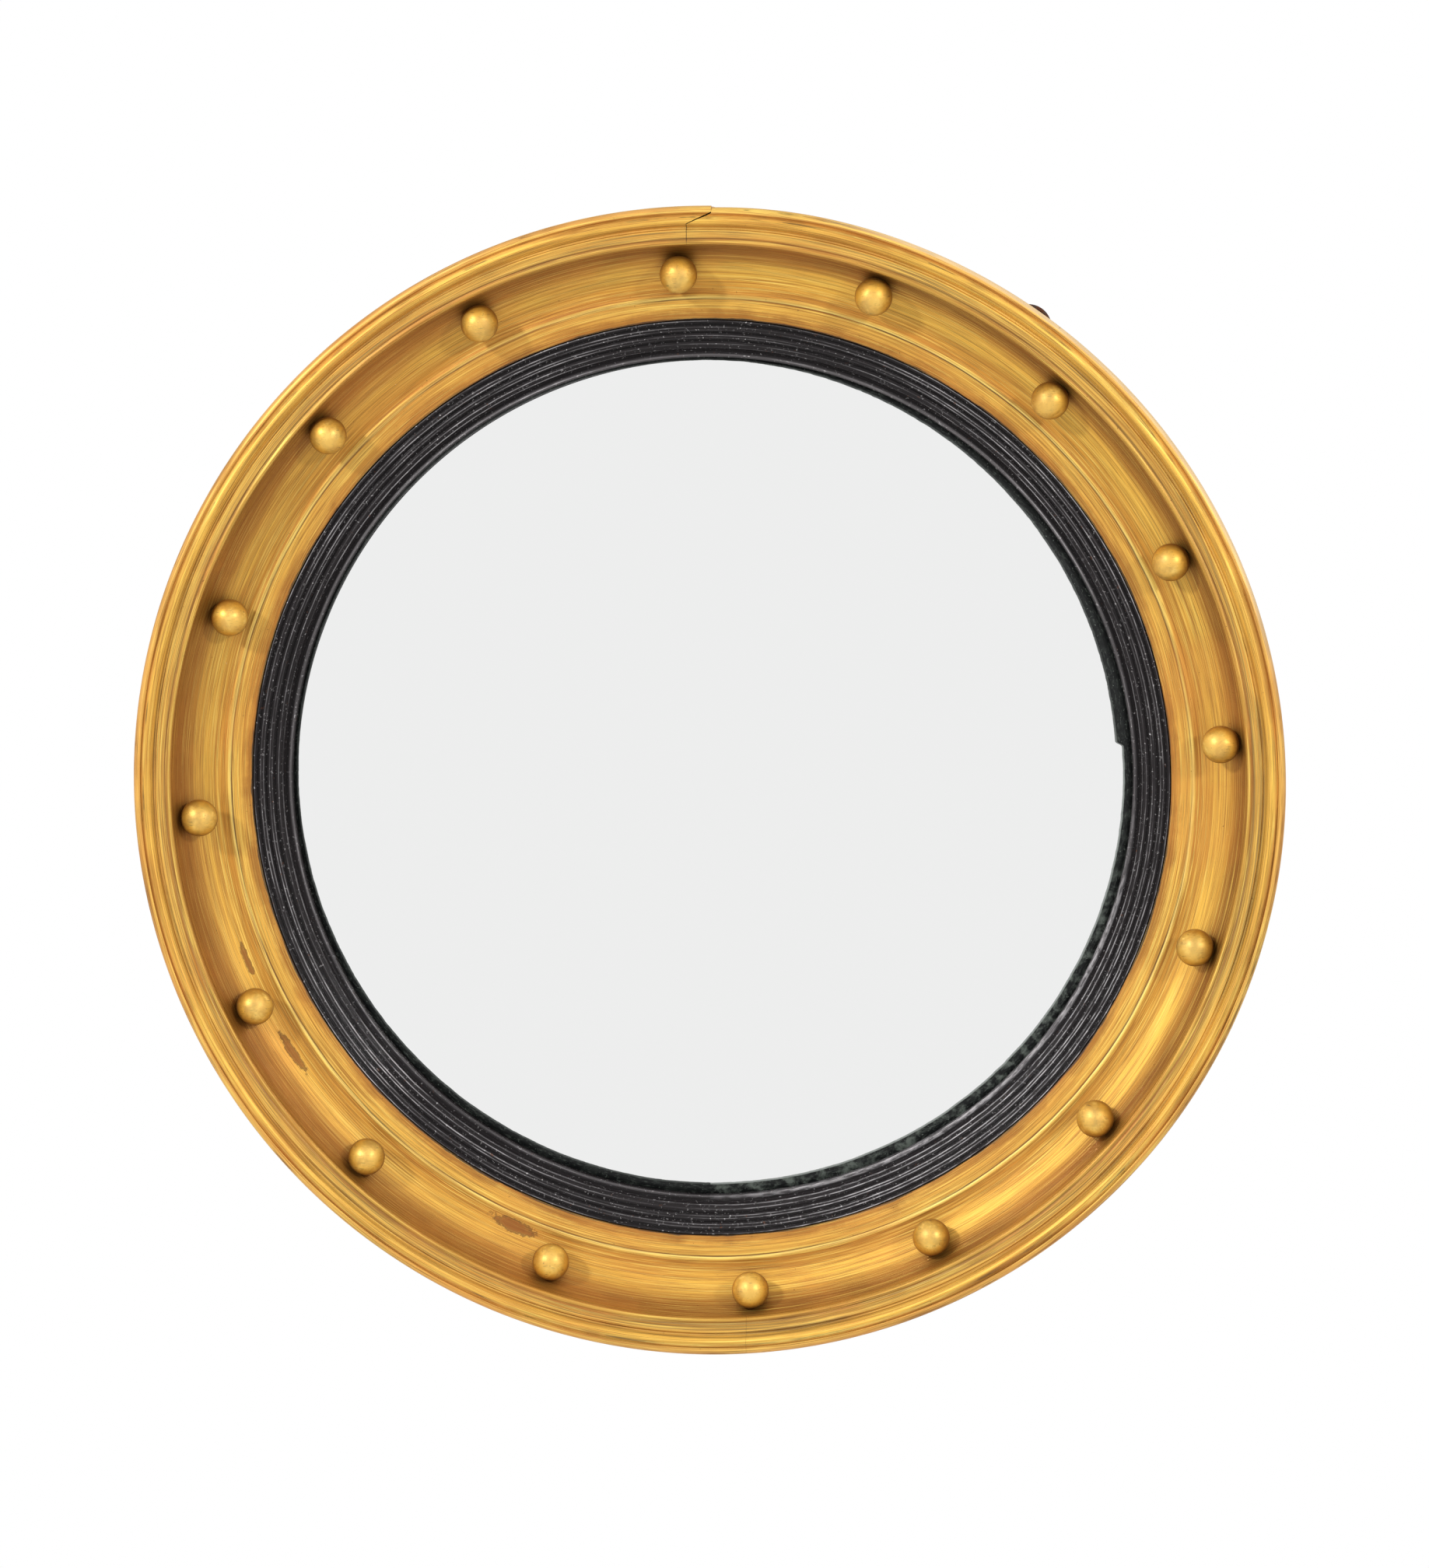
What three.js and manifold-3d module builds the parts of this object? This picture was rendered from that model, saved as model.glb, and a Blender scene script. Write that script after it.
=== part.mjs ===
// Round convex mirror in a turned and gilded frame: a reeded outer hoop in two halves, a cavetto set
// with gilded balls, an ebonised reeded slip round the glass, and a boarded back with two ring hangers.
// Millimetres. +Z is up, the glass faces -Y, and the origin is the centre of the backboard's rear face,
// where the mirror meets the wall. A radius is measured from the mirror's axis, a height from the wall.
import * as THREE from 'three';
import { mergeVertices } from 'three/addons/utils/BufferGeometryUtils.js';
import Module from 'manifold-3d';

const wasm = await Module();
wasm.setup();

// Facets round the turned rings, the glass, a ball, a knuckle, a screw and a wire, and along its bend.
const ringFacets = 52;
const glassFacets = 40;
const ballFacets = 10;
const knuckleFacets = 16;
const screwFacets = 6;
const wireFacets = 6;
const bendFacets = 20;

// Facets across a profile: the cavetto, the broad reed, a reed or cove, a bead, the nose, the glass
// from its middle to its edge and a ball from its spigot to its top, and along the boards' rims.
const cavettoFacets = 7;
const broadReedFacets = 4;
const reedFacets = 3;
const beadFacets = 2;
const noseFacets = 3;
const glassRows = 4;
const ballRows = 5;
const sideBoardFacets = 14;
const middleBoardFacets = 6;

// The gap between neighbouring pieces.
const clearance = 0.3;

// Outer hoop, from its outside wall inwards: nose, broad reed, groove, band, quirk and inner bead.
const hoopOuterRadius = 280;
const hoopWidth = 18.6;
const hoopCrownRise = 4;
const hoopSideInset = 0.4;
const noseWidth = 4;
const noseReach = 2.8;
const noseRoll = 110;
const noseRise = 3.9;
const noseDrop = 6;
const broadReedWidth = 5.8;
const broadReedRise = 3;
const grooveWidth = 0.8;
const grooveSplay = 0.4;
const grooveDepth = 0.6;
const hoopBandWidth = 4;
const hoopBandDrop = 2.2;
const hoopBandFall = 0.5;
const hoopBandHollow = 0.2;
const quirkWidth = 0.6;
const quirkDepth = 0.8;
const innerBeadRise = 1;

// The hoop's halves: a stepped scarf at the top and a plain butt at the bottom. The steps are given
// sideways from the middle, and by how far they lie inside the hoop's outer edge.
const scarfInner = -8.5;
const scarfOuter = 3.3;
const scarfInnerInset = 8.6;
const scarfOuterInset = 3;
const bottomButt = 20.6;

// Frame ring with the cavetto, the bead at its foot, a quirk and the flat band over the slip.
const wallThickness = 2.6;
const wallTopInset = 2.4;
const cavettoRadius = 23.4;
const footBeadWidth = 1.7;
const footBeadRise = 0.5;
const footQuirkWidth = 0.9;
const footQuirkDepth = 0.5;
const bandWidth = 9.8;
const bandFall = 2.4;
const bandLipThickness = 6.2;
const footDepth = 17;

// Ebonised reeded slip.
const slipWidth = 18.1;
const slipFlangeWidth = 6.4;
const slipEdgeDrop = 0.5;
const slipLipDepth = 3.4;
const narrowReedWidth = 2.1;
const narrowReedRise = 0.4;
const slipReedCount = 3;
const slipReedRise = 0.85;
const slipCoveWidth = 2.9;
const slipCoveDepth = 0.9;
const slipBeadWidth = 1.5;
const slipBeadRise = 0.7;

// Convex glass.
const glassOverlap = 5.8;
const glassSagitta = 24;
const glassThickness = 3;
const glassEdgeGap = 1.5;

// Back of the frame: a layer of glued segments, three boards over it, and glue blocks behind the glass.
const segmentCount = 8;
const layerThickness = 12;
const layerOuterInset = 4;
const boardThickness = 7;
const boardToStrap = 3;
const middleBoardWidth = 162;
const blockCount = 8;
const blockLength = 24;
const blockWidth = 9;

// Balls, each on a spigot in the cavetto.
const ballDiameter = 18.2;
const ballTurn = -3.65;
const ballSeatDepth = 0.8;
const spigotDiameter = 4.4;
const spigotLength = 5;

// The balls were set by eye. For each: its drift clockwise from its even place, and how far it leans
// out from the bottom of the hollow.
const ballSets = [
  { drift: 0.55, lean: 39 }, { drift: 0, lean: 52 }, { drift: 0.15, lean: 51 }, { drift: 0.05, lean: 48.5 },
  { drift: -1.4, lean: 51 }, { drift: -0.9, lean: 51 }, { drift: -1, lean: 50 }, { drift: -0.35, lean: 41 },
  { drift: -1.4, lean: 53 }, { drift: -0.9, lean: 47 }, { drift: 0.8, lean: 53 }, { drift: -0.4, lean: 47 },
  { drift: -0.45, lean: 52 }, { drift: 0.15, lean: 37 }, { drift: 1.3, lean: 53 }, { drift: 0, lean: 47 },
];

// Countersunk slotted screws.
const boardScrewLength = 16;
const strapScrewLength = 11;
const screwHeadDiameter = 6.8;
const screwHeadDepth = 2.4;
const screwHeadRim = 0.4;
const screwShankDiameter = 3.4;
const screwTipDiameter = 1.4;
const slotWidth = 0.9;
const slotDepth = 0.8;

// Ring hangers: a folded strap with a knuckle, two screws and a loose ring.
const hangerAngle = 34.9;
const hangerRingDiameter = 22.8;
const hangerWireDiameter = 2.6;
const hangerRingReach = 1.4;
const knuckleWidth = 6;
const knuckleSlack = 0.4;
const strapWidth = 12;
const strapThickness = 1;
const strapScrewGap = 0.5;
const strapEndMargin = 5.6;

// Heights that follow from the sizes above.
const layerBack = boardThickness + clearance;
const layerFront = layerBack + layerThickness;
const ringBack = layerFront + clearance;
const footHeight = ringBack + footDepth;
const wallTop = footHeight + cavettoRadius;
const bandInnerHeight = footHeight - bandFall;
const bandLipBack = bandInnerHeight - bandLipThickness;

// Radii that follow from them.
const hoopInnerRadius = hoopOuterRadius - hoopWidth;
const cavettoCentreRadius = hoopInnerRadius - cavettoRadius;
const ringOuterRadius = hoopInnerRadius + wallThickness;
const footBeadInner = cavettoCentreRadius - footBeadWidth;
const bandOuterRadius = footBeadInner - footQuirkWidth;
const bandInnerRadius = bandOuterRadius - bandWidth;
const rebateRadius = bandInnerRadius + slipFlangeWidth;
const slipOuterRadius = bandInnerRadius - clearance;
const sightRadius = slipOuterRadius - slipWidth;
const glassRadius = sightRadius + glassOverlap;
const layerInnerRadius = glassRadius + glassEdgeGap;
const layerOuterRadius = hoopOuterRadius - layerOuterInset;

// The glass is part of a sphere, and bears on the back of the slip at the sight edge.
const glassSphereRadius = (glassRadius ** 2 + glassSagitta ** 2) / (2 * glassSagitta);
const glassCrown = ringBack - clearance + glassFall(sightRadius);
const glassEdgeBack = glassCrown - glassSagitta - glassThickness;

const ballRadius = ballDiameter / 2;

// Each hanger's ring is threaded through its knuckle, whose bore is centred on the wire's bend.
const wireRadius = hangerWireDiameter / 2;
const bendRadius = hangerRingDiameter / 2 - wireRadius;
const bendInKnuckle = bendRadius - Math.sqrt(bendRadius ** 2 - (knuckleWidth / 2) ** 2);
const knuckleBore = hangerWireDiameter + bendInKnuckle + 2 * knuckleSlack;
const knuckleDiameter = knuckleBore + 2 * strapThickness;
const hangerRingCentre = hoopOuterRadius + hangerRingReach - hangerRingDiameter / 2;
const knuckleRadius = hangerRingCentre - bendRadius + bendInKnuckle / 2;
const strapFront = layerBack - clearance;
const knuckleHeight = strapFront - knuckleDiameter / 2;

// One strap screw lies inside the ring when it is folded down, and the other just past it.
const strapScrewNear = bendRadius;
const strapScrewFar = 2 * bendRadius + wireRadius + strapScrewGap + screwHeadDiameter / 2;
const strapScrewPlaces = [strapScrewNear, strapScrewFar];
const strapScrewHead = strapFront - strapThickness - clearance;
const strapLength = strapScrewFar + strapEndMargin;

// The backboard ends short of the straps, and its screws stand in the middle of its seat.
const boardRadius = knuckleRadius - strapLength - boardToStrap;
const boardScrewRadius = (boardRadius + layerInnerRadius) / 2;

const gilding = { color: 0xcf9a3c, roughness: 0.42, metalness: 0.75 };
const ebony = { color: 0x2c292d, roughness: 0.38, metalness: 0 };
const silvering = { color: 0xe6e8e8, roughness: 0.04, metalness: 1 };
const bareWood = { color: 0xa9825a, roughness: 0.85, metalness: 0 };
const darkIron = { color: 0x3b302a, roughness: 0.6, metalness: 0.7 };
const brass = { color: 0xb48f4a, roughness: 0.45, metalness: 0.8 };

const mirror = new THREE.Group();

function addPiece(name, geometry, finish, placement) {
  const piece = new THREE.Mesh(geometry, new THREE.MeshStandardMaterial(finish));
  piece.name = name;
  if (placement) {
    piece.applyMatrix4(placement);
  }
  mirror.add(piece);
}

// A closed geometry as a solid that can be joined and cut.
function solidOf(geometry, placement) {
  const bare = geometry.clone();
  bare.deleteAttribute('normal');
  bare.deleteAttribute('uv');
  if (placement) {
    bare.applyMatrix4(placement);
  }
  const merged = mergeVertices(bare);
  return new wasm.Manifold(new wasm.Mesh({
    numProp: 3,
    vertProperties: merged.attributes.position.array,
    triVerts: new Uint32Array(merged.index.array),
  }));
}

function geometryOf(solid) {
  const mesh = solid.getMesh();
  const geometry = new THREE.BufferGeometry();
  geometry.setAttribute('position', new THREE.BufferAttribute(mesh.vertProperties, 3));
  geometry.setIndex(new THREE.BufferAttribute(mesh.triVerts, 1));
  geometry.computeVertexNormals();
  return geometry;
}

function cutBy(geometry, cutters) {
  let solid = solidOf(geometry);
  for (const cutter of cutters) {
    solid = solid.subtract(cutter);
  }
  return geometryOf(solid);
}

function radians(degrees) {
  return THREE.MathUtils.degToRad(degrees);
}

// A point of a turned profile: its radius from the axis and its height from the wall.
function at(radius, height) {
  return new THREE.Vector2(radius, height);
}

// A ring or disc turned round the mirror's axis. Its profile runs outwards along the back and
// inwards along the front.
function turned(profile, facets) {
  const points = profile.map((point) => new THREE.Vector2(point.x, -point.y));
  return new THREE.LatheGeometry(points.reverse(), facets);
}

// Points of a rounded reed, or of a hollow where the rise is negative, which leave out the first.
function reed(from, to, rise, steps) {
  const along = new THREE.Vector2().subVectors(to, from);
  const out = at(along.y, -along.x).normalize();
  const points = [];
  for (let i = 1; i <= steps; i += 1) {
    const share = i / steps;
    const bulge = 4 * share * (1 - share) * rise;
    points.push(from.clone().addScaledVector(along, share).addScaledVector(out, bulge));
  }
  return points;
}

// Points of a round or oval arc in a profile, from one angle to another in degrees.
function arc(centre, reachOut, reachUp, start, end, steps) {
  const points = [];
  for (let i = 0; i <= steps; i += 1) {
    const angle = radians(start + ((end - start) * i) / steps);
    points.push(at(centre.x + reachOut * Math.cos(angle), centre.y + reachUp * Math.sin(angle)));
  }
  return points;
}

// A flat outline, as seen from the front, made into a plate whose back is at a height.
function plate(outline, height, thickness, curveSegments = 1) {
  const settings = { depth: thickness, bevelEnabled: false, curveSegments };
  const geometry = new THREE.ExtrudeGeometry(outline, settings);
  geometry.rotateX(Math.PI / 2);
  geometry.translate(0, -height, 0);
  return geometry;
}

// The place of a piece that is made upright on the Z axis: at a radius and a height, turned clockwise
// round the mirror as seen from the front, and first tilted about its own X axis.
function station(angle, radius, height, tilt = 0) {
  const turn = new THREE.Matrix4().makeRotationY(radians(angle));
  const shift = new THREE.Matrix4().makeTranslation(0, -height, radius);
  const tip = new THREE.Matrix4().makeRotationX(radians(tilt));
  return turn.multiply(shift).multiply(tip);
}

// Outer hoop: its side, the nose, the broad reed, the deep groove, the hollow band, the quirk and the
// inner bead, with a rebate that laps over the top of the frame ring's wall.
function hoopProfile() {
  const crown = wallTop + hoopCrownRise;
  const rebateOuter = ringOuterRadius + clearance;
  const rebateHeight = wallTop - wallTopInset + clearance;
  const sideRadius = hoopOuterRadius - hoopSideInset;
  const noseCentre = at(hoopOuterRadius - noseReach, crown - noseDrop);
  const valley = at(hoopOuterRadius - noseWidth, crown - broadReedRise);
  const grooveOuter = at(valley.x - broadReedWidth, valley.y);
  const grooveFloor = valley.y - grooveDepth;
  const bandOuter = at(grooveOuter.x - grooveWidth - 2 * grooveSplay, crown - hoopBandDrop);
  const bandInner = at(bandOuter.x - hoopBandWidth, bandOuter.y - hoopBandFall);
  const beadOuter = at(bandInner.x - quirkWidth, bandInner.y - quirkDepth);
  return [
    at(rebateOuter, ringBack),
    at(sideRadius, ringBack),
    at(sideRadius, noseCentre.y - hoopSideInset),
    ...arc(noseCentre, noseReach, noseRise, 0, noseRoll, noseFacets),
    valley,
    ...reed(valley, grooveOuter, broadReedRise, broadReedFacets),
    at(grooveOuter.x - grooveSplay, grooveFloor),
    at(grooveOuter.x - grooveSplay - grooveWidth, grooveFloor),
    bandOuter,
    ...reed(bandOuter, bandInner, -hoopBandHollow, beadFacets),
    beadOuter,
    ...reed(beadOuter, at(hoopInnerRadius, wallTop), innerBeadRise, reedFacets),
    at(hoopInnerRadius, rebateHeight),
    at(rebateOuter, rebateHeight),
    at(rebateOuter, ringBack),
  ];
}

// Everything on the left of the hoop's two joints, whose line can be moved aside by a gap.
function leftHalfOutline(gap) {
  const beyond = hoopOuterRadius + hoopWidth;
  const scarfInnerRadius = hoopOuterRadius - scarfInnerInset;
  const scarfOuterRadius = hoopOuterRadius - scarfOuterInset;
  const outline = new THREE.Shape();
  outline.moveTo(-beyond, -beyond);
  outline.lineTo(bottomButt + gap, -beyond);
  outline.lineTo(bottomButt + gap, 0);
  outline.lineTo(scarfInner + gap, 0);
  outline.lineTo(scarfInner + gap, scarfInnerRadius - gap);
  outline.lineTo(scarfOuter + gap, scarfOuterRadius - gap);
  outline.lineTo(scarfOuter + gap, beyond);
  outline.lineTo(-beyond, beyond);
  outline.closePath();
  return outline;
}

function addHoop() {
  const hoop = solidOf(turned(hoopProfile(), ringFacets));
  const left = solidOf(plate(leftHalfOutline(0), 0, 2 * wallTop));
  const leftAndGap = solidOf(plate(leftHalfOutline(clearance), 0, 2 * wallTop));
  addPiece('rim_hoop_left', geometryOf(hoop.intersect(left)), gilding);
  addPiece('rim_hoop_right', geometryOf(hoop.subtract(leftAndGap)), gilding);
}

// Ball on a spigot that points along -Z. A margin makes it larger all over, as the cutter of its seat.
function ballGeometry(margin) {
  const radius = ballRadius + margin;
  const spigotRadius = spigotDiameter / 2 + margin;
  const spigotEnd = -ballRadius - spigotLength - margin;
  const shoulder = THREE.MathUtils.radToDeg(Math.acos(spigotRadius / radius));
  const profile = [
    at(0, spigotEnd),
    at(spigotRadius, spigotEnd),
    ...arc(at(0, 0), radius, radius, -shoulder, 90, ballRows),
  ];
  profile[profile.length - 1].x = 0;
  return new THREE.LatheGeometry(profile, ballFacets).rotateX(Math.PI / 2);
}

// A ball sits a little way into the cavetto, on a line from the centre of the cavetto's hollow.
function ballPlace(index) {
  const { drift, lean } = ballSets[index];
  const reach = cavettoRadius - ballRadius + ballSeatDepth;
  const radius = cavettoCentreRadius + reach * Math.sin(radians(lean));
  const height = wallTop - reach * Math.cos(radians(lean));
  const turn = ballTurn + drift + (360 * index) / ballSets.length;
  return station(turn, radius, height, 90 + lean);
}

// Frame ring: the wall, the cavetto, the bead at its foot, the quirk, the flat band, its lip over the
// slip and the rebate behind it.
function frameRingProfile() {
  const centre = at(cavettoCentreRadius, wallTop);
  const top = -THREE.MathUtils.radToDeg(Math.asin(wallTopInset / cavettoRadius));
  const beadInner = at(footBeadInner, footHeight);
  return [
    at(rebateRadius, ringBack),
    at(ringOuterRadius, ringBack),
    at(ringOuterRadius, wallTop - wallTopInset),
    ...arc(centre, cavettoRadius, cavettoRadius, top, -90, cavettoFacets),
    ...reed(at(cavettoCentreRadius, footHeight), beadInner, footBeadRise, beadFacets),
    at(footBeadInner - footQuirkWidth / 2, footHeight - footQuirkDepth),
    at(bandOuterRadius, footHeight - footQuirkDepth / 2),
    at(bandInnerRadius, bandInnerHeight),
    at(bandInnerRadius, bandLipBack),
    at(rebateRadius, bandLipBack),
    at(rebateRadius, ringBack),
  ];
}

function addFrameRing() {
  const ball = ballGeometry(0);
  const seatCutter = ballGeometry(clearance);
  const seats = [];
  for (let i = 0; i < ballSets.length; i += 1) {
    seats.push(solidOf(seatCutter, ballPlace(i)));
    addPiece(`ball_${String(i + 1).padStart(2, '0')}`, ball, gilding, ballPlace(i));
  }
  addPiece('cavetto_ring', cutBy(turned(frameRingProfile(), ringFacets), seats), gilding);
}

// Slip: a narrow reed beside the gilded band, the main reeds, a cove and the lip bead, which step down
// to the glass, and a flange behind the band's lip.
function slipProfile() {
  const flangeRadius = rebateRadius - clearance;
  const flangeFront = bandLipBack - clearance;
  const outer = at(slipOuterRadius, bandInnerHeight - slipEdgeDrop);
  const lipInner = at(sightRadius, ringBack + slipLipDepth);
  const lipOuter = at(sightRadius + slipBeadWidth, lipInner.y);
  const slope = (outer.y - lipOuter.y) / (outer.x - lipOuter.x);
  const reedsWidth = slipWidth - narrowReedWidth - slipCoveWidth - slipBeadWidth;
  const front = [outer];
  const addReed = (width, rise, steps) => {
    const from = front[front.length - 1];
    const to = at(from.x - width, from.y - slope * width);
    front.push(...reed(from, to, rise, steps));
  };
  addReed(narrowReedWidth, narrowReedRise, beadFacets);
  for (let i = 0; i < slipReedCount; i += 1) {
    addReed(reedsWidth / slipReedCount, slipReedRise, reedFacets);
  }
  front.push(...reed(front[front.length - 1], lipOuter, -slipCoveDepth, reedFacets));
  front.push(...reed(lipOuter, lipInner, slipBeadRise, beadFacets));
  return [
    at(sightRadius, ringBack),
    at(flangeRadius, ringBack),
    at(flangeRadius, flangeFront),
    at(slipOuterRadius, flangeFront),
    ...front,
    at(sightRadius, ringBack),
  ];
}

// How far the glass has fallen from its crown at a radius.
function glassFall(radius) {
  return glassSphereRadius - Math.sqrt(glassSphereRadius ** 2 - radius ** 2);
}

function glassProfile() {
  const back = [];
  const front = [];
  for (let i = 0; i <= glassRows; i += 1) {
    const radius = (glassRadius * i) / glassRows;
    const height = glassCrown - glassFall(radius);
    back.push(at(radius, height - glassThickness));
    front.unshift(at(radius, height));
  }
  return [...back, ...front];
}

// Countersunk wood screw with its head at the origin and its point along +Z. A margin makes it larger
// all over, as the cutter of its hole.
function screwGeometry(length, margin) {
  const headRadius = screwHeadDiameter / 2 + margin;
  const shankRadius = screwShankDiameter / 2 + margin;
  const tipRadius = screwTipDiameter / 2 + margin;
  const profile = [
    at(0, -length - margin),
    at(tipRadius, -length - margin),
    at(shankRadius, -length / 2),
    at(shankRadius, -screwHeadDepth),
    at(headRadius, -screwHeadRim),
    at(headRadius, 2 * margin),
    at(0, 2 * margin),
  ];
  return new THREE.LatheGeometry(profile, screwFacets).rotateX(-Math.PI / 2);
}

function slottedScrew(length) {
  const slot = new THREE.BoxGeometry(2 * screwHeadDiameter, slotWidth, 2 * slotDepth);
  return cutBy(screwGeometry(length, 0), [solidOf(slot)]);
}

// Screws point forwards, away from the wall. The board has one screw into the middle of each segment.
function boardScrewPlace(index) {
  return station((360 * index) / segmentCount, boardScrewRadius, clearance, 90);
}

function strapScrewPlace(turn, along) {
  return station(turn, knuckleRadius - along, strapScrewHead, 90);
}

function screwHoles() {
  const boardHole = screwGeometry(boardScrewLength, clearance);
  const strapHole = screwGeometry(strapScrewLength, clearance);
  const holes = [];
  for (let i = 0; i < segmentCount; i += 1) {
    holes.push(solidOf(boardHole, boardScrewPlace(i)));
  }
  for (const turn of [-hangerAngle, hangerAngle]) {
    for (const along of strapScrewPlaces) {
      holes.push(solidOf(strapHole, strapScrewPlace(turn, along)));
    }
  }
  return holes;
}

// One glued segment of the back layer, with its middle at the top of the mirror.
function segmentOutline() {
  const half = Math.PI / segmentCount;
  const outerHalf = half - clearance / 2 / layerOuterRadius;
  const innerHalf = half - clearance / 2 / layerInnerRadius;
  const upright = Math.PI / 2;
  const outline = new THREE.Shape();
  outline.absarc(0, 0, layerOuterRadius, upright + outerHalf, upright - outerHalf, true);
  outline.absarc(0, 0, layerInnerRadius, upright - innerHalf, upright + innerHalf, false);
  outline.closePath();
  return outline;
}

function addBackLayer(holes) {
  const facets = Math.round(ringFacets / segmentCount);
  const segment = plate(segmentOutline(), layerBack, layerThickness, facets);
  for (let i = 0; i < segmentCount; i += 1) {
    const placed = segment.clone().applyMatrix4(station((360 * i) / segmentCount, 0, 0));
    addPiece(`back_segment_${i + 1}`, cutBy(placed, holes), bareWood);
  }
}

// Backboard: a disc in three upright boards.
function addBoards(holes) {
  const edge = middleBoardWidth / 2;
  const edgeAngle = Math.acos(edge / boardRadius);
  const middle = new THREE.Shape();
  middle.absarc(0, 0, boardRadius, edgeAngle, Math.PI - edgeAngle, false);
  middle.absarc(0, 0, boardRadius, Math.PI + edgeAngle, 2 * Math.PI - edgeAngle, false);
  middle.closePath();
  const sideAngle = Math.acos((edge + clearance) / boardRadius);
  const side = new THREE.Shape();
  side.absarc(0, 0, boardRadius, -sideAngle, sideAngle, false);
  side.closePath();
  const rightBoard = plate(side, 0, boardThickness, sideBoardFacets);
  const leftBoard = rightBoard.clone().rotateY(Math.PI);
  addPiece('backboard_left', cutBy(leftBoard, holes), bareWood);
  addPiece('backboard_middle', cutBy(plate(middle, 0, boardThickness, middleBoardFacets), holes), bareWood);
  addPiece('backboard_right', cutBy(rightBoard, holes), bareWood);
}

function addBoardScrews() {
  const screw = slottedScrew(boardScrewLength);
  for (let i = 0; i < segmentCount; i += 1) {
    addPiece(`board_screw_${i + 1}`, screw, brass, boardScrewPlace(i));
  }
}

// Glue blocks fill in behind the edge of the glass, against the inside of the back layer.
function addGlassBlocks() {
  const foot = layerBack;
  const top = glassEdgeBack - clearance;
  const facetRadius = layerInnerRadius * Math.cos(Math.PI / ringFacets);
  const cornerInset = blockLength ** 2 / (8 * facetRadius);
  const radius = facetRadius - clearance - cornerInset - blockWidth / 2;
  const block = new THREE.BoxGeometry(blockLength, top - foot, blockWidth);
  for (let i = 0; i < blockCount; i += 1) {
    const place = station((360 * (i + 0.5)) / blockCount, radius, (top + foot) / 2);
    addPiece(`glass_block_${i + 1}`, block, bareWood, place);
  }
}

// Strap of a hanger at the top of the mirror, folded round into its knuckle.
function strapSolid() {
  const flat = new THREE.BoxGeometry(strapWidth, strapThickness, strapLength);
  const knuckle = knuckleCylinder(knuckleDiameter, knuckleWidth);
  const bore = knuckleCylinder(knuckleBore, 2 * strapWidth);
  const knucklePlace = station(0, knuckleRadius, knuckleHeight);
  const flatPlace = station(0, knuckleRadius - strapLength / 2, strapFront - strapThickness / 2);
  return solidOf(flat, flatPlace)
    .add(solidOf(knuckle, knucklePlace))
    .subtract(solidOf(bore, knucklePlace));
}

function knuckleCylinder(diameter, length) {
  const radius = diameter / 2;
  return new THREE.CylinderGeometry(radius, radius, length, knuckleFacets).rotateZ(Math.PI / 2);
}

function addHangers(holes) {
  const strap = geometryOf(strapSolid());
  const screw = slottedScrew(strapScrewLength);
  const ring = new THREE.TorusGeometry(bendRadius, wireRadius, wireFacets, bendFacets);
  ring.rotateX(Math.PI / 2);
  for (const [side, turn] of [['left', -hangerAngle], ['right', hangerAngle]]) {
    const placed = strap.clone().applyMatrix4(station(turn, 0, 0));
    addPiece(`hanger_strap_${side}`, cutBy(placed, holes), darkIron);
    addPiece(`hanging_ring_${side}`, ring, darkIron, station(turn, hangerRingCentre, knuckleHeight));
    strapScrewPlaces.forEach((along, i) => {
      addPiece(`strap_screw_${side}_${i + 1}`, screw, darkIron, strapScrewPlace(turn, along));
    });
  }
}

const holes = screwHoles();
addHoop();
addFrameRing();
addPiece('ebonised_slip', turned(slipProfile(), ringFacets), ebony);
addPiece('convex_glass', turned(glassProfile(), glassFacets), silvering);
addBackLayer(holes);
addGlassBlocks();
addBoards(holes);
addBoardScrews();
addHangers(holes);

export default mirror;
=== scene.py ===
import math

import bmesh
import bpy
from mathutils import Matrix, Vector, noise


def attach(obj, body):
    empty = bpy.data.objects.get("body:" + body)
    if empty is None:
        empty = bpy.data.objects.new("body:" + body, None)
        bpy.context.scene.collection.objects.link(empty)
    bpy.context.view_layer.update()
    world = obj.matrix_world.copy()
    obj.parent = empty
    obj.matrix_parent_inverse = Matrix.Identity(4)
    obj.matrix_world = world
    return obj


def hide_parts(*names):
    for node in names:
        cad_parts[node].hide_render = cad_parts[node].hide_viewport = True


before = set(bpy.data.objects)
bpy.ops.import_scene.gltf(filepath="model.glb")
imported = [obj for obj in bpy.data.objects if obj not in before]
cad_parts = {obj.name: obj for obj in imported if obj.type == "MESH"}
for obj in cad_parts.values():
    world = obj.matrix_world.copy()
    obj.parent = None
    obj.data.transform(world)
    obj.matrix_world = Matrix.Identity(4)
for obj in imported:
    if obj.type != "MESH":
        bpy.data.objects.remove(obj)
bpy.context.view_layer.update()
mm = 0.001
scene = bpy.context.scene
print("frame loaded")

# The camera stands a little right of the mirror's axis and above it.
camera = {
    "aim": (0, -0.0366, 0), "distance": 2.283, "turn": 4.37, "rise": 6.07, "lens": 107.14, "sensor": 36,
    "shift": (0.00417, -0.00084),
}


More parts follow.
